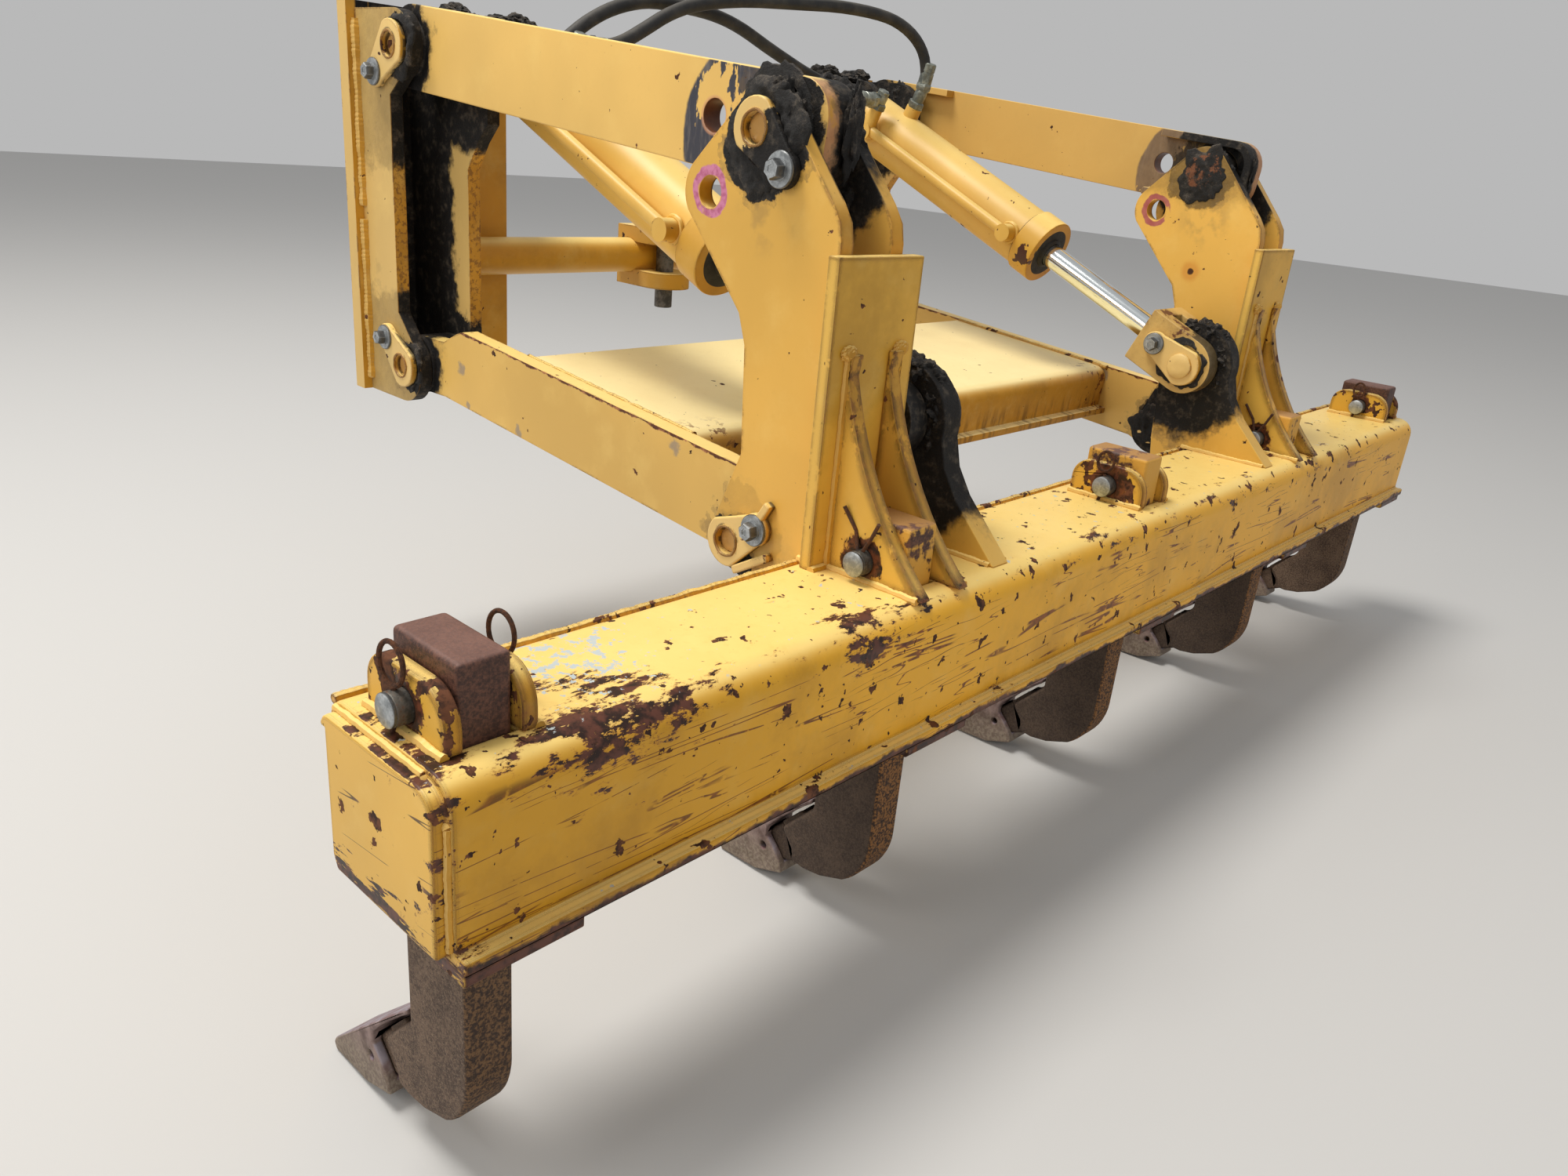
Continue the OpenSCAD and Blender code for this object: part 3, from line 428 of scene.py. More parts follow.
def beam_marks(m, col):
    """Heavy wear along the rear top bend and at the left end, pale flakes, and worn plate edges."""
    bend = m.step(m.away((BEAM_REAR + 0.016, BEAM_TOP - 0.012)), 0.042, 0.010)
    far_left = m.mul(m.rear(1.5, 1.9), m.step(m.x, -0.60, -1.0))
    col = m.over(col, (142, 102, 30), far_left, 0.34)
    post = m.mul(m.step(m.abs(m.add(m.x, 1.132)), 0.024, 0.004),
                 m.step(m.abs(m.add(m.y, -BEAM_REAR)), 0.030, 0.006))
    patch = m.any(m.step(m.away((-0.965, BEAM_REAR + 0.030, BEAM_TOP)), 0.125, 0.02), m.mul(post, 0.75),
                  m.all(m.step(m.away((-1.112, -1.045, BEAM_TOP)), 0.080, 0.04), m.step(m.nz, 0.5, 0.9), 1.6),
                  m.mul(m.step(m.away((-1.134, BEAM_REAR, BEAM_LOW)), 0.11, 0.02), 0.7),
                  m.mul(m.step(m.away((-0.66, BEAM_REAR + 0.012, BEAM_TOP)), 0.07, 0.02), 0.8))
    blot = m.add(m.noise(34, 8, 0.72, w=11, stretch=(0.6, 1.3, 1.3)), m.plus(m.mul(bend, 0.080), patch, 0.145))
    grain = m.noise(80, 4)
    tone = m.ramp(grain, 0.4, 0.6, (44, 27, 21), (94, 55, 42))
    col = m.over(col, RUST_LIGHT, m.step(blot, 0.645, 0.685), 0.5)
    col = m.ramp(blot, 0.680, 0.692, col, tone)
    foot = m.mul(m.step(m.nx, -0.8, -0.95), m.step(m.z, BEAM_LOW + 0.055, BEAM_LOW + 0.004))
    streaks = m.plus(m.noise(46, 5, 0.65, w=17, stretch=(1, 0.25, 1.5)), foot, 0.16)
    col = m.over(col, tone, m.step(streaks, 0.640, 0.655), m.step(foot, 0.0, 0.15))
    s = m.abs(m.sub(m.noise(6.0, 1.0, 0.4, stretch=(1, 0.25, 9), w=5.5, turn=0.012), 0.5))
    lines = m.all(m.step(s, 0.010, 0.004), m.fleck(0.50, 0.53, 6, 3, 0.6, w=8), m.step(m.nx, -0.8, -0.95))
    col = m.over(col, tone, lines, 0.9)
    flakes = m.plus(m.noise(75, 6, 0.7, w=14), m.step(m.away((-0.945, -1.005, BEAM_TOP)), 0.13, 0.02), 0.13)
    col = m.over(col, (184, 194, 196), m.step(flakes, 0.655, 0.665), m.step(m.nz, 0.8, 0.95))
    few = m.mul(m.fleck(0.70, 0.71, 70, 4, 0.6, w=21), m.step(m.nz, 0.8, 0.95))
    col = m.mix(few, col, (186, 192, 190))
    low = m.step(m.add(m.z, m.wave(0.030, 30, 5, 0.6, w=3)), BEAM_LOW + 0.009, BEAM_LOW + 0.004)
    return m.over(col, tone, low, m.rear(1.5, 1.9))


def deck_marks(m, col):
    drips = m.noise(30, 4, 0.6, w=5, stretch=(2.2, 0.4, 0.4))
    lip = m.step(m.away((-0.132 - 0.598 * cos(DROP), -0.223 - 0.598 * sin(DROP))), 0.045, 0.012)
    col = m.over(col, (92, 62, 36), lip, m.step(drips, 0.46, 0.66), 0.55)
    corner = m.mul(m.step(m.ax, 0.42, 0.50), m.step(m.y, -0.66, -0.72))
    return m.over(col, (110, 58, 26), m.fleck(0.56, 0.58, 52, 5, 0.65, w=6), corner)


def gusset_marks(m, col):
    """Dark rust down the curved edges, at the feet and round the shank pin."""
    low = m.step(m.z, BEAM_TOP + 0.30, BEAM_TOP + 0.03)
    edge = m.mul(m.step(m.edge(0.020), 0.010, 0.07), m.plus(0.20, low, 0.10))
    foot = m.mul(m.step(m.z, BEAM_TOP + 0.030, BEAM_TOP), 0.10)
    pin = m.mul(m.step(m.away(SHANK_PIN), 0.040, 0.018), 0.26)
    worn = m.plus(m.top(m.add(edge, foot), pin), m.noise(34, 7, 0.70, w=4, stretch=(1, 1, 0.6)), 0.85)
    tone = m.mix(m.fleck(0.42, 0.6, 110, 4), (40, 24, 18), (104, 58, 34))
    col = m.over(col, RUST_LIGHT, m.step(worn, 0.59, 0.64), 0.45)
    return m.ramp(worn, 0.635, 0.650, col, tone)


def ears_marks(m, col):
    """Rust round the pins, heaviest on the middle holder."""
    wave = m.wave(0.045, 55, 6, 0.68, w=2)
    reach = m.plus(0.021, m.step(m.ax, 0.3, 0.1), 0.010)
    tone = m.mix(m.fleck(0.42, 0.6, 110, 4), RUST_DARK, (112, 62, 40))
    return m.ramp(m.add(m.away(SHANK_PIN, -0.004, 0.004), wave), reach, m.add(reach, -0.002), col, tone)


def barrel_right_shade(m, col):
    """Painted shade: the right barrel is darkened."""
    return m.over(col, (150, 110, 56), m.right(), 0.22)


def gland_marks(m, col):
    wave = m.wave(0.06, 45, 4, w=4)
    d = m.add(m.away(on_cylinder(1, 0.535, -0.052, -0.012)), wave)
    return m.ramp(d, 0.020, 0.018, col, (70, 38, 28))


# Where old grease lies on each piece, as masks; in the gaps of the mount and towers they also hold painted shade

def mount_grease_and_gap_shade(m, n):
    pins = m.any(m.disc(MOUNT_UP, -0.018, -0.004, 0.046, n), m.disc(MOUNT_LO, -0.016, -0.002, 0.043, n))
    outer = m.mul(m.step(m.ax, 0.583, 0.5835), pins)
    ends = m.any(m.step(m.plus(m.z, n, 2.5), 0.045, 0.075), m.step(m.plus(m.z, n, 2), -0.115, -0.135))
    edge = m.mul(m.band(m.ax, 0.563, 0.5835), ends)
    # The faces in the gap between the cheeks go black: grease and painted shade
    strip = m.all(m.band(m.ax, 0.490, 0.563), m.band(m.z, -0.26, 0.235), m.step(m.add(m.y, n), -0.150, -0.135))
    lobe = m.mul(m.band(m.ax, 0.40, 0.563), m.step(m.add(m.z, n), 0.085, 0.10))
    foot = m.mul(m.band(m.ax, 0.47, 0.563), m.disc(MOUNT_LO, 0, 0, 0.085, n))
    base = m.mul(m.band(m.ax, 0.33, 0.47), m.disc(MOUNT_UP, 0, 0, 0.10, n))
    return m.mul(m.any(outer, edge, strip, lobe, foot, base), m.step(m.y, -0.010, -0.014))


def tower_grease_and_gap_shade(m, n):
    wide = m.disc(TOWER_UP, -0.008, -0.008, 0.062, m.mul(n, 0.7), 0.97)
    left_face = m.mul(m.step(m.x, -0.5835, -0.584), wide)
    right_face = m.mul(m.step(m.x, 0.5835, 0.584), m.disc(TOWER_UP, 0, 0, 0.054, n))
    inner = m.mul(m.band(m.ax, 0.40, 0.4825), m.disc(TOWER_UP, 0, -0.002, 0.060, n, 0.9))
    # The faces in the gaps between the cheeks go black: grease and painted shade
    gap = m.mul(m.band(m.ax, 0.500, 0.566), m.disc(TOWER_UP, 0, -0.015, 0.115, n, 0.9))
    edge = m.all(m.band(m.ax, 0.4825, 0.566), m.step(m.add(m.z, n), 0.10, 0.13))
    foot = m.mul(m.band(m.ax, 0.40, 0.583), m.disc(TOWER_LO, 0, 0, 0.075, n))
    low = m.mul(m.step(m.ax, 0.583, 0.584), m.disc(TOWER_LO, 0.006, -0.012, 0.043, n))
    return m.any(left_face, right_face, inner, gap, edge, foot, low)


def upper_arm_grease(m, n):
    outer = m.mul(m.disc(TOWER_UP, -0.008, 0.004, 0.058, n), m.side)
    front = m.disc(MOUNT_UP, 0.012, -0.004, 0.068, n, 0.85)
    wrap = m.all(m.step(m.y, -0.885, -0.900), m.step(m.add(m.ax, n), 0.545, 0.535))
    inner = m.mul(m.step(m.ax, 0.536, 0.530), m.disc(TOWER_UP, 0, 0, 0.085, n))
    return m.any(outer, front, wrap, inner)


def lower_arm_grease(m, n):
    return m.any(m.disc(MOUNT_LO, 0.006, -0.004, 0.064, n, 0.85),
                 m.mul(m.disc(TOWER_LO, 0.004, 0, 0.052, n), 0.9))


def bracket_grease(m, n):
    left = m.mul(m.left(), m.disc(ROD_PIN, 0, -0.01, 0.150, n, 0.85))
    right = m.mul(m.right(), m.disc(ROD_PIN, 0, -0.01, 0.118, n, 0.85))
    return m.any(left, right)


def flag_grease(m, n):
    outside = m.step(m.plus(m.away(TOWER_UP, 0.004, 0), n, 1.6), 0.021, 0.024)
    tower = m.mul(m.disc(TOWER_UP, -0.030, -0.026, 0.048, m.mul(n, 0.6)), outside)
    rims = m.any(*(m.mul(m.band(m.away(p), 0.0165, 0.021), m.step(n, 0.0, 0.004))
                   for p in (MOUNT_UP, TOWER_LO, MOUNT_LO)))
    edges = m.all(m.flip(m.side), m.band(m.ax, 0.583, 0.590), m.step(n, -0.004, 0.0))
    return m.any(tower, m.mul(rims, 0.8), m.mul(edges, 0.8))


def barrel_grease(m, n):
    return m.disc(MOUNT_UP, 0, 0, 0.075, n, 0.85)


def rod_metal():
    m = Nodes("chrome_rod")
    s = m.plus(m.mul(m.sub(MOUNT_UP.x, m.y), cos(TILT)), m.sub(MOUNT_UP.y, m.z), sin(TILT))
    fork = m.step(s, CYL_LEN - 0.0955, CYL_LEN - 0.0945)
    # Darker streaks along the rod: painted reflection
    reflection_streaks = m.noise(190, 3, 0.6, stretch=(8, 0.25, 0.5))
    chrome = m.over((228, 234, 236), (176, 180, 182), m.step(reflection_streaks, 0.5, 0.75), 0.5)
    mid, fine = m.noise(20, 5, 0.6), m.noise(120, 4, 0.7)
    n = m.mul(m.sub(mid, 0.5), 0.09)
    grime = m.any(m.disc((-0.400, *ROD_PIN), 0, 0, 0.125, n, 0.72),
                  m.disc((0.455, *ROD_PIN), 0, 0, 0.085, n, 0.72))
    rim = m.mul(m.flip(m.side), m.disc(ROD_PIN, 0, 0, 0.062, n, 0.8))
    coat = m.ramp(mid, 0.4, 0.7, (206, 170, 98), (176, 140, 78))
    coat = m.ramp(m.plus(mid, fine, 0.4), 0.80, 0.86, coat, RUST_MID)
    coat = m.mix(m.top(grime, m.mul(rim, 0.85)), coat, m.ramp(fine, 0.45, 0.7, GREASE, GREASE_DUST))
    col = m.mix(fork, chrome, coat)
    return m.finish(col, m.add(m.mul(fork, 0.42), 0.13), m.mul(fork, m.add(mid, fine)), 0.0012, m.flip(fork))


def shank_metal(name, head):
    """Ground steel with soil on its sides, dark rust behind, and a rusty or painted head."""
    m = Nodes(name)
    mid, fine, grit = m.noise(30, 4, 0.6), m.noise(330, 3, 0.7), m.noise(900, 2, 0.6)
    col = m.ramp(m.plus(m.mul(mid, 0.35), fine, 0.65), 0.38, 0.62, (66, 50, 40), (112, 91, 74))
    col = m.over(col, (168, 146, 120), m.step(grit, 0.58, 0.68), 0.55)
    light = (118, 84, 48)
    # On the middle shanks the sides are darkened, painted shade, and the rear faces take a lighter rust, rust and
    # painted light
    if head == "painted":
        col, light = m.mix(0.55, col, (38, 27, 20)), (158, 106, 50)
    back = m.rear(1.3, 1.7)
    col = m.over(col, m.ramp(fine, 0.42, 0.6, (44, 28, 19), light), back, 0.75)
    high = m.mul(m.step(m.z, BEAM_LOW - 0.075, BEAM_LOW - 0.01), 0.6)
    col = m.over(col, (56, 40, 32), high, m.step(mid, 0.35, 0.6))
    above = m.step(m.z, BEAM_TOP - 0.01, BEAM_TOP + 0.002)
    rust = m.ramp(m.plus(m.mul(mid, 0.3), fine, 0.7), 0.38, 0.64, (56, 32, 24), (104, 66, 50))
    if head == "painted":
        blots = m.plus(m.mul(m.noise(18, 5, 0.6), 0.7), m.noise(100), 0.35)
        worn = m.add(m.mul(m.step(m.edge(0.007), 0.02, 0.3), 0.16), blots)
        rust = m.ramp(worn, 0.62, 0.56, rust, (214, 160, 62))
    dusty = m.mul(m.step(m.nz, 0.5, 0.95), 0.55)
    rust = m.mix(dusty, rust, m.mix(mid, (112, 76, 66), (136, 102, 92)))
    col = m.mix(above, col, rust)
    return m.finish(col, m.plus(0.82, above, -0.22), m.plus(mid, fine, 0.8), 0.0009, 0.0, 0.7)


def tip_metal():
    m = Nodes("tip_cast")
    mid, fine = m.noise(36, 5, 0.65), m.noise(210, 4, 0.7)
    col = m.ramp(mid, 0.36, 0.64, (96, 74, 70), (150, 128, 122))
    worn = m.step(m.nz, 0.35, 0.8)
    col = m.over(col, m.ramp(mid, 0.4, 0.62, (132, 96, 98), (150, 156, 176)), worn, 0.55)
    low = m.step(m.z, -0.66, -0.71)
    col = m.over(col, m.ramp(fine, 0.42, 0.6, (112, 98, 82), (150, 138, 118)), low, m.flip(worn), 0.7)
    return m.finish(col, m.plus(0.45, fine, 0.35), m.plus(mid, fine, 0.5), 0.0012, 0.25, 0.7)


def grease_mat():
    """Old black grease, dusty on top and red-brown at the right tower's hub."""
    m = Nodes("grease")
    mid, fine = m.noise(45, 5, 0.7), m.noise(420, 4, 0.75)
    dust_and_top_light = m.step(m.plus(mid, m.step(m.nz, 0.2, 0.9), 0.12), 0.50, 0.70)
    col = m.mix(dust_and_top_light, GREASE, m.ramp(fine, 0.4, 0.65, (52, 46, 40), (96, 86, 74)))
    hub = m.mul(m.disc(TOWER_UP, 0, 0, 0.030, m.mul(m.sub(mid, 0.5), 0.03)), m.band(m.x, 0.45, 0.49))
    col = m.over(col, (118, 70, 40), hub, m.fleck(0.50, 0.58, 60, 5, 0.7, w=3))
    return m.finish(col, m.plus(0.55, fine, 0.4), m.plus(mid, fine, 1.2), 0.002, 0.0, 1.0)


def hose_mat():
    m = Nodes("hose_rubber")
    mid, fine = m.noise(22, 4), m.noise(240, 3, 0.7)
    col = m.ramp(mid, 0.4, 0.7, (26, 26, 27), (58, 55, 50))
    col = m.over(col, (104, 98, 88), m.step(m.nz, 0.4, 1.0), 0.35)
    return m.finish(col, 0.62, m.add(fine, mid), 0.0006)


# Kind, colour, (wear, chips, scratches) and what else paint takes; a rear colour is painted shade on rear faces,
# and a dust colour is dust and painted top light
PAINTS = (
    ("plain", YELLOW, (0.25, 0.25), dict()),
    ("mount", (226, 188, 114), (0.34, 0.35), dict(extra=mount_marks, grease=mount_grease_and_gap_shade)),
    ("tower", YELLOW, (0.42, 0.35), dict(extra=tower_marks, grease=tower_grease_and_gap_shade, edge=0.009)),
    ("upper_arm", (235, 192, 108), (0.24, 0.25), dict(extra=upper_arm_marks, grease=upper_arm_grease)),
    ("lower_arm", (228, 184, 98), (0.40, 0.45), dict(extra=lower_arm_marks, grease=lower_arm_grease)),
    # The deck's colours are lightened against the shade cast over it: painted light
    ("deck", (250, 220, 144), (0.3, 0.3), dict(extra=deck_marks, dust_and_top_light=(255, 234, 170))),
    ("beam", (236, 186, 82), (0.85, 0.95, 0.92), dict(extra=beam_marks, rear=(238, 174, 30), edge=0.008)),
    ("back", (228, 184, 88), (0.62, 0.6), dict(rear=(224, 172, 64), edge=0.011)),
    ("gusset", (226, 178, 76), (0.72, 0.85), dict(extra=gusset_marks, rear=(212, 156, 46))),
    ("bracket", (220, 172, 78), (0.3, 0.3), dict(grease=bracket_grease)),
    ("ears", (228, 176, 66), (1.6, 1.6), dict(extra=ears_marks, edge=0.013)),
    ("flag", (232, 196, 124), (0.45, 0.6), dict(grease=flag_grease)),
    ("pin_end", (196, 150, 82), (0.8, 1.0), dict()),
    ("barrel", (234, 188, 92), (0.22, 0.3), dict(extra=barrel_right_shade, grease=barrel_grease)),
    ("gland", (216, 166, 66), (0.45, 0.5), dict(extra=gland_marks)),
    ("hitch", (206, 156, 68), (0.55, 0.6), dict()),
    ("weld", (226, 182, 98), (0.2, 0.5), dict()),
    ("seam", (222, 172, 84), (0.9, 1.3), dict()))


def make_materials():
    mats = {kind: paint("paint_" + kind, colour, *worn, **more) for kind, colour, worn, more in PAINTS}
    mats.update({
        "pin": steel("steel_zinc", (132, 136, 138), (184, 188, 190), 0.12, 0.42, 0.7, flank=0.75),
        "pin_dull": steel("steel_dull", (70, 68, 64), (122, 118, 110), 0.35, 0.55, 0.6),
        "wire": steel("steel_wire", (58, 40, 32), (112, 82, 62), 0.8, 0.75, 0.3),
        "fitting": steel("steel_fitting", (104, 108, 102), (158, 162, 152), 0.12, 0.40, 0.7, scale=40),
        "shank_rusty": shank_metal("shank_rusty", "rusty"),
        "shank_painted": shank_metal("shank_painted", "painted"),
        "tip": tip_metal(), "rod": rod_metal(), "grease": grease_mat(), "hose": hose_mat(),
        "seal": steel("seal_dark", (20, 18, 16), (46, 42, 38), 0.1, 0.6, 0.2)})
    return mats


# How a solid's name starts, its material and its bevel in mm
LOOKS = (
    ("mount_pins", "flag", 2.2), ("mount_", "mount", 1.8), ("shank_pins", "pin_dull", 1.5),
    ("cross_tube", "plain", 1.8), ("hitch_clevis", "hitch", 1.8), ("hitch_pin", "pin_dull", 1.8),
    ("lower_arm", "lower_arm", 1.8), ("cross_box", "deck", 1.8), ("upper_arm", "upper_arm", 1.8),
    ("beam", "beam", 3.0), ("tower_pins", "flag", 2.2), ("tower_", "tower", 1.8),
    ("back_plates", "back", 1.8), ("gussets", "gusset", 2.5), ("cylinder_bracket", "bracket", 1.8),
    ("ears", "ears", 2.8), ("shank_1", "shank_rusty", 5.0), ("shank_5", "shank_rusty", 5.0),
    ("shank_", "shank_painted", 5.0), ("tip_", "tip", 3.0), ("barrel", "barrel", 1.8),
    ("gland", "gland", 1.8), ("fittings", "fitting", 0.8), ("hose", "hose", 0.2), ("rod_pin", "flag", 2.2),
    ("rod_", "rod", 1.8))


def smooth_group():
    """Shades a mesh smooth, but sharp at edges over 35 degrees."""
    g = bpy.data.node_groups.new("smooth_by_angle", "GeometryNodeTree")
    for way in ("INPUT", "OUTPUT"):
        g.interface.new_socket("Geometry", in_out=way, socket_type="NodeSocketGeometry")
    start, end = g.nodes.new("NodeGroupInput"), g.nodes.new("NodeGroupOutput")
    face, edge = g.nodes.new("GeometryNodeSetShadeSmooth"), g.nodes.new("GeometryNodeSetShadeSmooth")
    edge.domain = "EDGE"
    edge.inputs["Shade Smooth"].default_value = False
    angle = g.nodes.new("GeometryNodeInputMeshEdgeAngle")
    sharp = g.nodes.new("FunctionNodeCompare")
    sharp.inputs[1].default_value = SHARP
    for a, b in ((start.outputs[0], face.inputs[0]), (face.outputs[0], edge.inputs[0]),
                 (edge.outputs[0], end.inputs[0]), (angle.outputs["Unsigned Angle"], sharp.inputs[0]),
                 (sharp.outputs[0], edge.inputs["Selection"])):
        g.links.new(a, b)
    return g


def dress_nodes(smooth):
    for name, o in NODES.items():
        kind, width = next((kind, width) for start, kind, width in LOOKS if name.startswith(start))
        o.data.materials.clear()
        o.data.materials.append(MATS[kind])
        weld = o.modifiers.new("weld", "WELD")
        weld.merge_threshold = 0.00001
        flat = o.modifiers.new("flat", "DECIMATE")
        flat.decimate_type, flat.angle_limit = "DISSOLVE", radians(0.6)
        bevel = o.modifiers.new("bevel", "BEVEL")
        bevel.width = width / 1000
        bevel.segments, bevel.limit_method, bevel.angle_limit = 3, "ANGLE", SHARP
        bevel.use_clamp_overlap = bevel.width < 0.002
        nodes = o.modifiers.new("smooth", "NODES")
        nodes.node_group = smooth
        o.modifiers.new("normals", "WEIGHTED_NORMAL").keep_sharp = True


# Shapes

def on_cylinder(sx, s, u=0.0, v=0.0):
    """Point at the distance s along a cylinder from its base pin, u sideways and v across."""
    c, t = cos(TILT), sin(TILT)
    return Vector((sx * CYL_X + u, MOUNT_UP.x - s * c - v * t, MOUNT_UP.y - s * t + v * c))


CYL_DIR = Vector((0, -cos(TILT), -sin(TILT)))
CYL_UP = Vector((0, -sin(TILT), cos(TILT)))


def add(name, bm, body, kind, bevel=0.0):
    """Makes a piece of a mesh with the material of its kind."""
    bmesh.ops.recalc_face_normals(bm, faces=bm.faces)
    me = bpy.data.meshes.new(name)
    bm.to_mesh(me)
    bm.free()
    me.materials.append(MATS[kind])
    for p in me.polygons:
        p.use_smooth = True
    me.set_sharp_from_angle(angle=radians(38))
    o = new_object(name, me)
    if bevel:
        b = o.modifiers.new("bevel", "BEVEL")
        b.width, b.segments, b.limit_method = bevel, 2, "ANGLE"
    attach(o, body)


def basis(axis):
    axis = Vector(axis).normalized()
    u = axis.orthogonal().normalized()
    return axis, u, axis.cross(u)


def circle(at, r, u, v, seg, turn=0.0):
    """Points on a circle in the plane of u and v."""
    angles = [TAU * k / seg + turn for k in range(seg)]
    return [at + r * (cos(a) * u + sin(a) * v) for a in angles]


def beside(pin, x, dy=0.0, dz=0.0):
    """Point at x, moved by dy and dz from a pin's centre."""
    return Vector((x, pin.x + dy, pin.y + dz))


def roughen(bm, size, scale):
    for v in bm.verts:
        v.co += size * noise.noise_vector(v.co * scale)


def skin(bm, rings):
    """Faces from each ring of vertices to the next; a ring of one vertex is a tip."""
    for p, q in zip(rings, rings[1:]):
        n = max(len(p), len(q))
        for k in range(n):
            j = (k + 1) % n
            face = p[k % len(p)], q[k % len(q)], q[j % len(q)], p[j % len(p)]
            bm.faces.new(list(dict.fromkeys(face)))


def lathe(bm, at, axis, profile, seg, turn=0.0):
    """Solid of revolution; profile lists (height, radius) in mm from one end to the other."""
    a, u, v = basis(axis)
    rings = []
    for h, r in profile:
        c = Vector(at) + a * (h / 1000)
        ring = circle(c, r / 1000, u, v, seg, turn) if r else [c]
        rings.append([bm.verts.new(p) for p in ring])
    skin(bm, rings)


def sweep(bm, points, radius, closed=False):
    """Round tube along points; radius is a number or a function of the distance along it."""
    pts = [Vector(p) for p in points]
    n, along, rings = len(pts), 0.0, []
    side = None
    for i, p in enumerate(pts):
        a = pts[(i + 1) % n] if closed else pts[min(i + 1, n - 1)]
        b = pts[i - 1] if closed else pts[max(i - 1, 0)]
        t = (a - b).normalized()
        side = t.orthogonal().normalized() if side is None else (side - side.dot(t) * t).normalized()
        other = t.cross(side)
        if i:
            along += (p - pts[i - 1]).length
        r = radius(along) if callable(radius) else radius
        rings.append([bm.verts.new(q) for q in circle(p, r, side, other, 8)])
    skin(bm, rings + rings[:1] if closed else rings)
    if not closed:
        bm.faces.new(rings[0])
        bm.faces.new(rings[-1][::-1])


def weld_bead(bm, a, b, r, seed):
    """Rippled bead along a straight seam."""
    a, b = Vector(a), Vector(b)
    n = max(2, round((b - a).length / 0.0022))
    pts = [a.lerp(b, i / n) for i in range(n + 1)]
    pts = [p + 0.0007 * noise.noise_vector(p * 90 + Vector((seed, 0, 0))) for p in pts]
    sweep(bm, pts, lambda s: r * (0.86 + 0.16 * abs(sin(pi * s / 0.0062))
                                  + 0.25 * noise.noise(Vector((s * 60, seed, 0)))))


def bolt(bm, at, axis, r, turn=0.3):
    """Hexagon head with a chamfered top and its own face, on a washer of radius r in mm."""
    lathe(bm, at, axis, [(0, 0), (0, r - 0.5), (0.6, r), (2.5, r), (3.5, r - 1), (3.5, 0)], 36)
    at = at + axis * 0.0032
    lathe(bm, at, axis, [(0, 0), (0, 11.55), (1.2, 11.55), (1.2, 9.9), (1.2, 0)], 24)
    head = [(0, 0), (0, 11), (9.43, 11), (11.5, 9.46), (11.5, 4.62), (10.7, 4.4), (10.7, 0)]
    lathe(bm, at + axis * 0.0008, axis, head, 6, turn)


# Pieces

def make_flag_bolts():
    """Bolts and washers of the flag plates, with the stops beside the lower tower pins."""
    flags = ((MOUNT_UP, (0.042, -0.036), "mount", 0.3), (MOUNT_LO, (0.042, 0.036), "mount", 0.9),
             (TOWER_UP, (-0.042, -0.037), "beam", 0.1), (TOWER_LO, (-0.044, 0.026), "beam", 0.5))
    for side, sx in SIDES:
        for body in ("mount", "beam"):
            bm = bmesh.new()
            for pin, to, carrier, turn in flags:
                if carrier == body:
                    bolt(bm, beside(pin, sx * FLAG_X, *to), Vector((sx, 0, 0)), 18.5, turn)
            add("flag_bolts_%s_%s" % (body, side), bm, body, "pin")
        bm = bmesh.new()
        for dy, dz, turn, l in ((-0.056, 0.050, 0.55, 0.024), (-0.041, -0.016, 1.037, 0.060)):
            c = beside(TOWER_LO, sx * 0.590, dy, dz)
            m = Matrix.Translation(c) @ Matrix.Rotation(turn, 4, "X") @ Matrix.Diagonal((0.012, 0.010, l, 1))
            bmesh.ops.create_cube(bm, size=1, matrix=m)
        add("flag_stops_" + side, bm, "beam", "flag", 0.002)
        bm = bmesh.new()
        at = on_cylinder(sx, CYL_LEN - 0.058, -sx * 0.061, 0.004)
        bolt(bm, at, Vector((-sx, 0, 0)), 17.5)
        add("rod_flag_bolt_" + side, bm, "rod_" + side, "pin")


def make_pin_ends():
    """Lumpy pin ends in the flags' recesses and their raised rims."""
    for side, sx in SIDES:
        for body, pins in (("mount", (MOUNT_UP, MOUNT_LO)), ("beam", (TOWER_UP, TOWER_LO))):
            bm = bmesh.new()
            for pin in pins:
                at = beside(pin, sx * (FLAG_X - 0.0105))
                lathe(bm, at, (sx, 0, 0), [(0, 0), (0, 15.5), (2, 15.5), (3.5, 12), (2.2, 6), (3, 0)], 28)
                rim = circle(beside(pin, sx * FLAG_X), 0.0175, Vector((0, 1, 0)), Vector((0, 0, 1)), 40)
                sweep(bm, rim, 0.0018, closed=True)
            roughen(bm, 0.0009, 130)
            add("pin_ends_%s_%s" % (body, side), bm, body, "pin_end")
        bm = bmesh.new()
        lathe(bm, on_cylinder(sx, CYL_LEN, -sx * 0.0608), (-sx, 0, 0),
              [(0, 0), (0, 20), (3.5, 20), (6.2, 16.5), (6.6, 8), (6.6, 0)], 36)
        roughen(bm, 0.0012, 70)
        add("rod_pin_head_" + side, bm, "rod_" + side, "flag")


def beam_bead(bm, x, start, end, r, seed):
    """Bead at one x; start and end are (y, height over the beam's top)."""
    weld_bead(bm, (x, start[0], BEAM_TOP + start[1]), (x, end[0], BEAM_TOP + end[1]), r, seed)


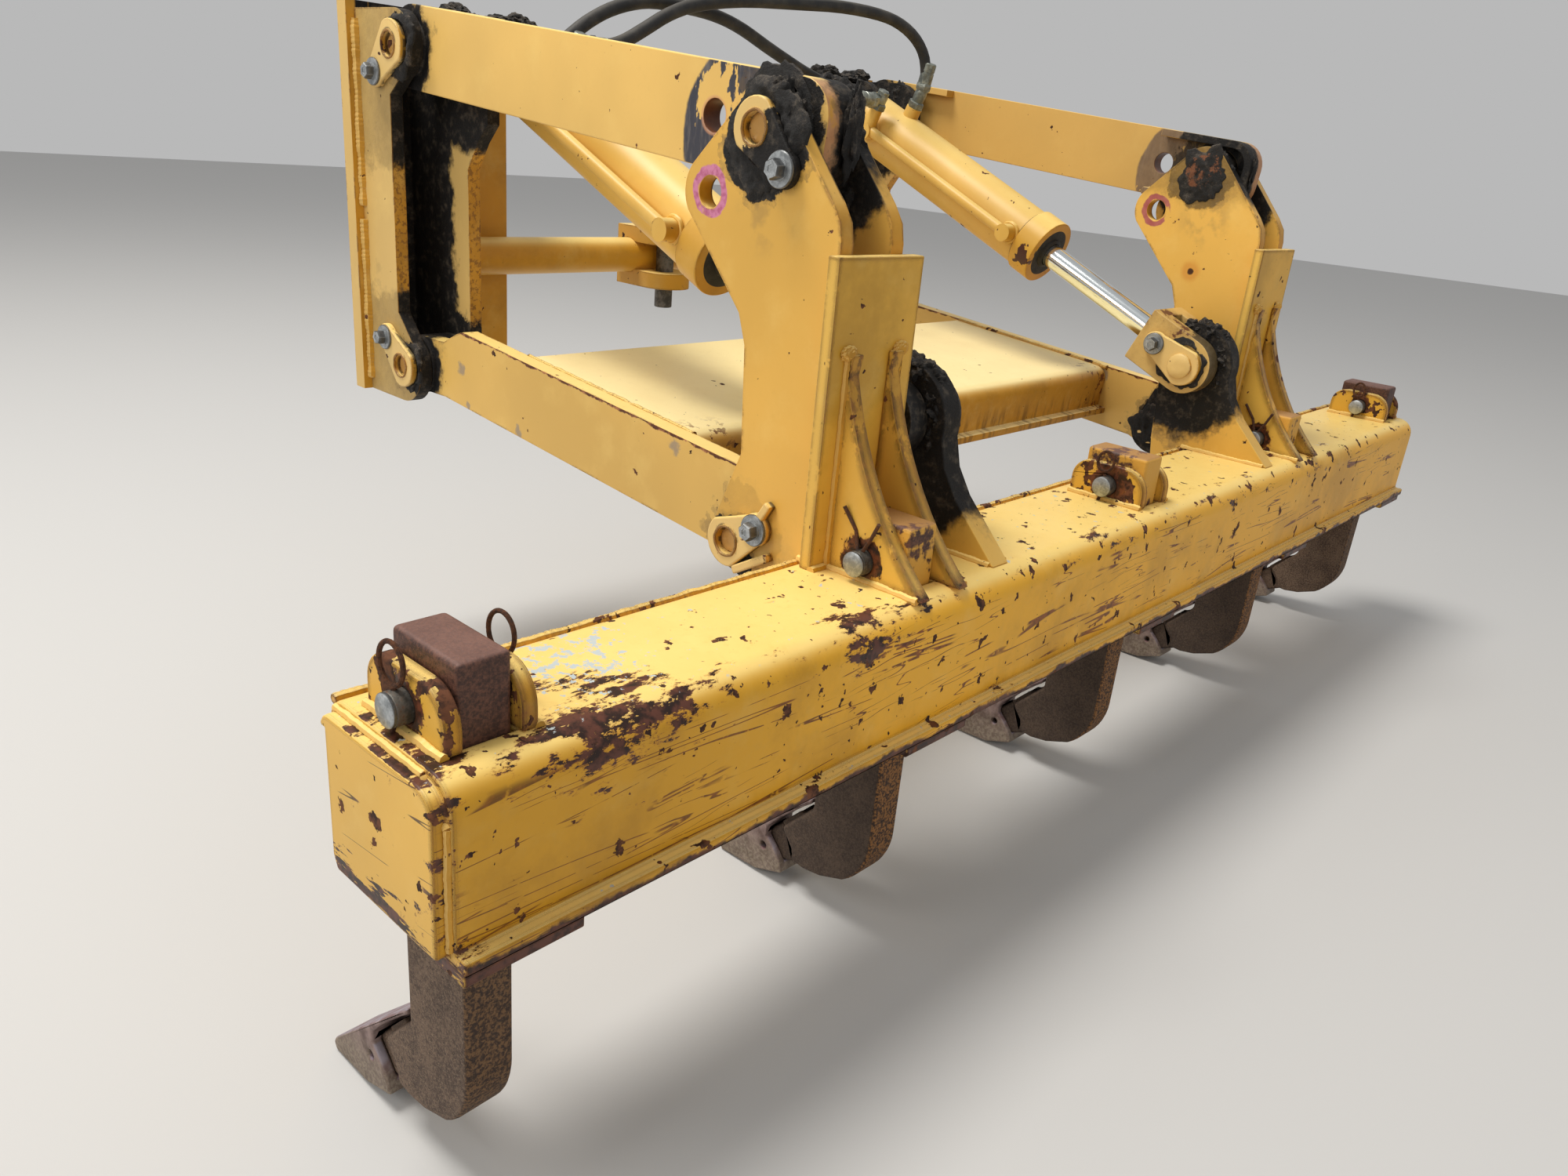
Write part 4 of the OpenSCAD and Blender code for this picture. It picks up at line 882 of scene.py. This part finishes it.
def make_welds():
    """Rippled beads along the seams that the photograph shows."""
    for side, sx in SIDES:
        bm = bmesh.new()
        for x in (FACE_X, INNER_X):
            beam_bead(bm, sx * x, (TOWER_REAR + 0.001, 0.004), (TOWER_REAR + 0.001, 0.322), 0.0045, x)
            beam_bead(bm, sx * x, (TOWER_REAR, 0.001), (BEAM_FRONT - 0.004, 0.001), 0.005, x + 1)
        for x in (-0.043, 0.043):
            gx = sx * (ARM_X + x)
            beam_bead(bm, gx, (BACK_REAR - 0.001, 0.004), (BACK_REAR - 0.001, 0.230), 0.0045, x)
            beam_bead(bm, gx, (BACK_REAR - 0.002, 0.001), (BEAM_REAR + 0.012, 0.001), 0.0045, x + 2)
            lump(bm, (gx, BACK_REAR - 0.002, BEAM_TOP + 0.233), (0.011, 0.006, 0.008), x + 4, 0.25)
        foot = [(sx * x, BACK_REAR - 0.001, BEAM_TOP + 0.001) for x in (0.464, 0.602)]
        weld_bead(bm, *foot, 0.005, 3)
        for x in (0.384, 0.416):
            beam_bead(bm, sx * x, (BEAM_FRONT - 0.004, 0.001), (BEAM_REAR + 0.030, 0.001), 0.0045, x + 5)
        add("welds_tower_" + side, bm, "beam", "weld")
        bm = bmesh.new()
        for x in (INNER_X, FACE_X):
            for z0, z1 in ((-0.262, -0.02), (0.0, 0.256)):
                weld_bead(bm, (sx * x, -0.0265, z0), (sx * x, -0.0265, z1), 0.0080, x)
        add("welds_mount_" + side, bm, "mount", "weld")
        bm = bmesh.new()
        up = 0.0755  # the seam's height over the arm's middle
        ends = [(sx * 0.5305, MOUNT_LO.x - s * cos(DROP) - up * sin(DROP),
                 MOUNT_LO.y - s * sin(DROP) + up * cos(DROP)) for s in (0.238, 0.588)]
        weld_bead(bm, *ends, 0.0045, 8)
        add("welds_arm_" + side, bm, "lower_frame", "seam")
    bm = bmesh.new()
    for k in (-2, 0, 2):
        for x in (-0.041, 0.041):
            beam_bead(bm, k * PITCH + x, (SHANK_REAR - 0.010, 0.001), (SHANK_FRONT + 0.010, 0.001), 0.005, k + x)
    rim = ((BEAM_FRONT - 0.012, BEAM_TOP - 0.006), (BEAM_REAR + 0.034, BEAM_TOP - 0.006),
           (BEAM_REAR + 0.006, BEAM_TOP - 0.036), (BEAM_REAR + 0.006, BEAM_LOW + 0.012))
    for sx in (-1, 1):
        for p, q in zip(rim, rim[1:]):
            weld_bead(bm, (sx * 1.1225, *p), (sx * 1.1225, *q), 0.0038, sx + p[0])
    add("welds_beam", bm, "beam", "weld")
    bm = bmesh.new()
    y, z = BEAM_FRONT - 0.0045, BEAM_TOP - 0.0035
    for x0, x1 in ((-1.120, -0.584), (-0.482, -0.418), (-0.382, 0.382), (0.418, 0.482), (0.584, 1.120)):
        weld_bead(bm, (x0, y, z), (x1, y, z), 0.0050, x0)
    add("welds_beam_front", bm, "beam", "seam")


def grease_cake(bm, at, normal, r_in, r_out, thick, seed, rings=16, seg=64):
    """Uneven cake of grease on a flat face, open in the middle when r_in is set."""
    a, u, v = basis(normal)
    rows = []
    for i in range(rings + 1):
        f, row = i / rings, []
        for k in range(seg):
            ang = TAU * k / seg
            d = Vector((cos(ang) * 1.7 + seed, sin(ang) * 1.7, seed))
            rim = r_out * (0.88 + 0.30 * noise.noise(d) + 0.10 * noise.noise(d * 4))
            r = r_in + (rim - r_in) * f
            p = Vector(at) + r * (cos(ang) * u + sin(ang) * v)
            knob = 0.55 + 0.55 * noise.noise(p * 38 + Vector((seed, 0, 0))) + 0.35 * noise.noise(p * 120)
            h = thick * (1 - f ** 3) * max(0.12, knob)
            if i == rings:
                h = -0.002
            if r_in and i == 0:
                h = -0.001
            row.append(bm.verts.new(p + a * h))
        rows.append(row)
    skin(bm, rows)
    if not r_in:
        bm.faces.new(rows[0])


def lump(bm, at, size, seed, bite=0.4):
    """Ragged clod of grease."""
    made = bmesh.ops.create_icosphere(bm, subdivisions=4, radius=1)
    for v in made["verts"]:
        d = v.co.normalized()
        k = (1 + bite * noise.noise(d * 2.1 + Vector((seed, seed * 1.7, 0)))
             + 0.16 * noise.noise(d * 7 + Vector((seed, 0, 0))))
        v.co = Vector(at) + Vector((d.x * size[0], d.y * size[1], d.z * size[2])) * k


def make_grease():
    """Cakes and clods of old grease round the pins, smaller on the right tower."""
    for side, sx in SIDES:
        out, inward = (sx, 0, 0), (-sx, 0, 0)
        full = 1 if sx < 0 else 0.55
        face, inner = sx * FACE_X, sx * 0.4815
        bm = bmesh.new()
        grease_cake(bm, beside(MOUNT_UP, face, -0.010, 0.002), out, 0.030, 0.046, 0.007, 1.1)
        grease_cake(bm, beside(MOUNT_LO, face, -0.010), out, 0.030, 0.043, 0.006, 2.3)
        grease_cake(bm, beside(MOUNT_LO, inner, 0.005, 0.02), inward, 0, 0.060, 0.010, 3.1)
        for k in range(7):
            at = (sx * (0.345 + 0.020 * k), -0.095 - 0.010 * sin(k * 2.1), 0.273 + 0.004 * sin(k * 1.3))
            lump(bm, at, (0.019, 0.020, 0.011 + 0.003 * cos(k)), 20 + k)
        lump(bm, beside(MOUNT_UP, sx * 0.4935, -0.052, 0.028), (0.014, 0.015, 0.022), 31)
        lump(bm, beside(MOUNT_UP, sx * 0.4935, -0.090, -0.005), (0.012, 0.018, 0.030), 32)
        add("grease_mount_" + side, bm, "mount", "grease")
        bm = bmesh.new()
        if sx < 0:
            grease_cake(bm, beside(TOWER_UP, face, -0.008, -0.008), out, 0.028, 0.062, 0.0085, 4.2, 22, 96)
        else:
            grease_cake(bm, beside(TOWER_UP, face, -0.002, -0.004), out, 0.028, 0.052, 0.006, 4.9)
        grease_cake(bm, beside(TOWER_UP, sx * 0.5635, -0.004, 0.002), inward, 0.034, 0.045, 0.0045, 5.7)
        thick = 0.018 if sx < 0 else 0.008
        grease_cake(bm, beside(TOWER_UP, inner, 0, -0.003), inward, 0, 0.050, thick, 6.4, 22, 96)
        grease_cake(bm, beside(TOWER_LO, inner, 0, 0.01), inward, 0, 0.046, 0.012, 7.4)
        lower = 0.012 if sx > 0 else 0
        for k, (dy, dz) in enumerate(((-0.006, 0.041), (-0.024, 0.034), (-0.040, 0.016), (-0.046, -0.008),
                                      (-0.050, -0.034), (-0.054, -0.062))):
            size = [c * full for c in (0.0135, 0.015, 0.019)]
            lump(bm, beside(TOWER_UP, sx * 0.4925, dy, dz - lower), size, 40 + k, 0.5)
        for k, (dy, dz) in enumerate(((-0.020, 0.036), (-0.037, 0.020))):
            lump(bm, beside(TOWER_UP, sx * 0.575, dy, dz), [c * full for c in (0.012, 0.010, 0.015)], 50 + k, 0.5)
        add("grease_tower_" + side, bm, "beam", "grease")
        bm = bmesh.new()
        grease_cake(bm, beside(TOWER_UP, sx * 0.558, 0, 0.006), out, 0.036, 0.062, 0.0042, 8.8)
        at = beside(TOWER_UP, sx * 0.521, -0.066 - 0.003 * full, 0.005)
        lump(bm, at, [c * full for c in (0.012, 0.008, 0.042)], 61, 0.5)
        add("grease_arm_" + side, bm, "upper_arm_" + side, "grease")
        bm = bmesh.new()
        grease_cake(bm, on_cylinder(sx, CYL_LEN, -sx * 0.0505), inward, 0.033, 0.045, 0.006, 9.3)
        grease_cake(bm, on_cylinder(sx, CYL_LEN, sx * 0.0505), out, 0, 0.043, 0.012, 10.1)
        add("grease_rod_" + side, bm, "rod_" + side, "grease")
        bm = bmesh.new()
        for k in range(8):
            a = radians(-24 + 19 * k)
            reach = (0.062 if k > 3 else 0.054) * 0.97
            at = beside(ROD_PIN, sx * CYL_X + 0.003 * sin(k * 2.2), -reach * cos(a), reach * sin(a))
            lump(bm, at, (0.018, 0.012, 0.012), 70 + k, 0.5)
        add("grease_bracket_" + side, bm, "beam", "grease")


def make_shank_pin_parts():
    """Heads and clips of the shank pins."""
    bm = bmesh.new()
    for k in range(-2, 3):
        reach = 0.0555 if abs(k) == 1 else 0.0525
        for sx in (-1, 1):
            lathe(bm, beside(SHANK_PIN, k * PITCH + sx * reach), (sx, 0, 0),
                  [(0, 0), (0, 13.5), (1.2, 14), (2.8, 13.8), (4, 12.2), (4.1, 0)], 32)
    add("shank_pin_heads", bm, "beam", "pin")
    bm = bmesh.new()
    for k, sx, lean, r in ((-2, -1, 0.25, 0.0140), (-2, 1, -0.3, 0.0145),
                           (0, -1, 0.5, 0.011), (2, -1, -0.2, 0.011)):
        c = beside(SHANK_PIN, k * PITCH + sx * 0.0465, 0.004, 0.034)
        u = Vector((sx * sin(lean) * 0.5, cos(lean), 0)).normalized()
        sweep(bm, circle(c, r, u, Vector((0, 0, 1.25)), 36), 0.0021, closed=True)
        legs = ((-0.002, -0.018), (-0.004, -0.034), (0.0, -0.050), (0.003, -0.062))
        sweep(bm, [c + Vector((0, *to)) for to in legs], 0.0023)
    for k, sx in ((-1, -1), (1, -1)):
        p = beside(SHANK_PIN, k * PITCH + sx * 0.0475)
        for wire in (((0, 0.004, 0.012), (-0.004 * sx, 0.012, 0.032), (0, 0.028, 0.055)),
                     ((0, -0.002, 0.012), (0, -0.012, 0.030), (0, -0.020, 0.048))):
            sweep(bm, [p + Vector(to) for to in wire], 0.0022)
    add("pin_clips", bm, "beam", "wire")


def make_hose_ends():
    """Crimped ferrules on the hoses, hexagon nuts and swivels on the ports."""
    bm = bmesh.new()
    side_v, top_v = 0.044 + 0.015, 0.068 + 0.024
    crimped = [(0, 0), (0, 10.5), (4, 12.5), (10, 12.5), (10.5, 11.8), (12, 11.8), (12.5, 12.8), (30, 12.8),
               (30.5, 12.1), (33, 12.1), (33.5, 12.8), (46, 12.8), (48, 10.5), (48, 0)]
    nut = [(0, 0), (0, 13.5), (2, 14.8), (11, 14.8), (13, 13.5), (13, 0)]
    ends = ((on_cylinder(-1, 0.118, -0.065 + 0.0163, side_v), (1, 0.12, 0.10)),
            (on_cylinder(1, 0.118, -0.065 - 0.0163, side_v), (-1, 0.03, 0.03)),
            (on_cylinder(-1, 0.150, 0.0163, top_v), (1, 0.10, 0.05)),
            (on_cylinder(1, 0.150, 0, 0.1023), CYL_UP + Vector((0, 0.20, 0))))
    for at, way in ends:
        lathe(bm, at, way, crimped, 24)
        lathe(bm, Vector(at) - Vector(way).normalized() * 0.0005, way, nut, 6)
    add("hose_ferrules", bm, "barrel_right", "fitting")
    for side, sx in SIDES:
        bm = bmesh.new()
        for s, u, v, top in ((0.118, -0.065, 0.044, 30), (0.150, 0, 0.068, 34)):
            at = on_cylinder(sx, s, u, v)
            lathe(bm, at, CYL_UP, [(0, 0), (0, 14), (1.5, 15.2), (10.5, 15.2), (12, 13.8), (12, 0)], 6)
            lathe(bm, at + CYL_UP * 0.012, CYL_UP,
                  [(0, 0), (0, 11.2), (top - 18, 11.6), (top - 12, 10.8), (top - 11.8, 0)], 24)
            lathe(bm, at + CYL_UP * ((top - 0.5) / 1000), CYL_UP,
                  [(0, 0), (0, 10.8), (1, 11.8), (4, 11.8), (6, 9), (6, 0)], 6)
        add("port_nuts_" + side, bm, "barrel_" + side, "fitting")


def make_gland_parts():
    """Dark joint behind each gland, the recess and wiper round the rod."""
    for side, sx in SIDES:
        bm = bmesh.new()
        lathe(bm, on_cylinder(sx, 0.5050), CYL_DIR, [(0, 50), (0, 53.5), (2.2, 54.5), (2.2, 50)], 64)
        face = on_cylinder(sx, 0.5505)
        lathe(bm, face, CYL_DIR, [(0, 20.5), (0.8, 20.5), (1.2, 30), (0.6, 43), (0, 43.5)], 64)
        lathe(bm, face, CYL_DIR, [(0, 20.5), (5, 20.5), (6.2, 21.5), (4, 26.5), (0, 27.5)], 48)
        add("gland_seals_" + side, bm, "barrel_" + side, "seal")


def make_boss_welds():
    """Weld rings round the side tubes' bosses."""
    for side, sx in SIDES:
        bm = bmesh.new()
        for s, v in ((0.118, 0.0), (0.489, 0.004)):
            c = on_cylinder(sx, s, -0.052, v)
            sweep(bm, circle(c, 0.0165, CYL_DIR, CYL_UP, 48), 0.0035, closed=True)
        roughen(bm, 0.0008, 120)
        add("boss_welds_" + side, bm, "barrel_" + side, "barrel")


make_camera()
make_light()
make_floor()
MATS = make_materials()
dress_nodes(smooth_group())
make_flag_bolts()
make_pin_ends()
make_welds()
make_grease()
make_shank_pin_parts()
make_hose_ends()
make_gland_parts()
make_boss_welds()

bpy.context.scene.view_settings.view_transform = "Standard"
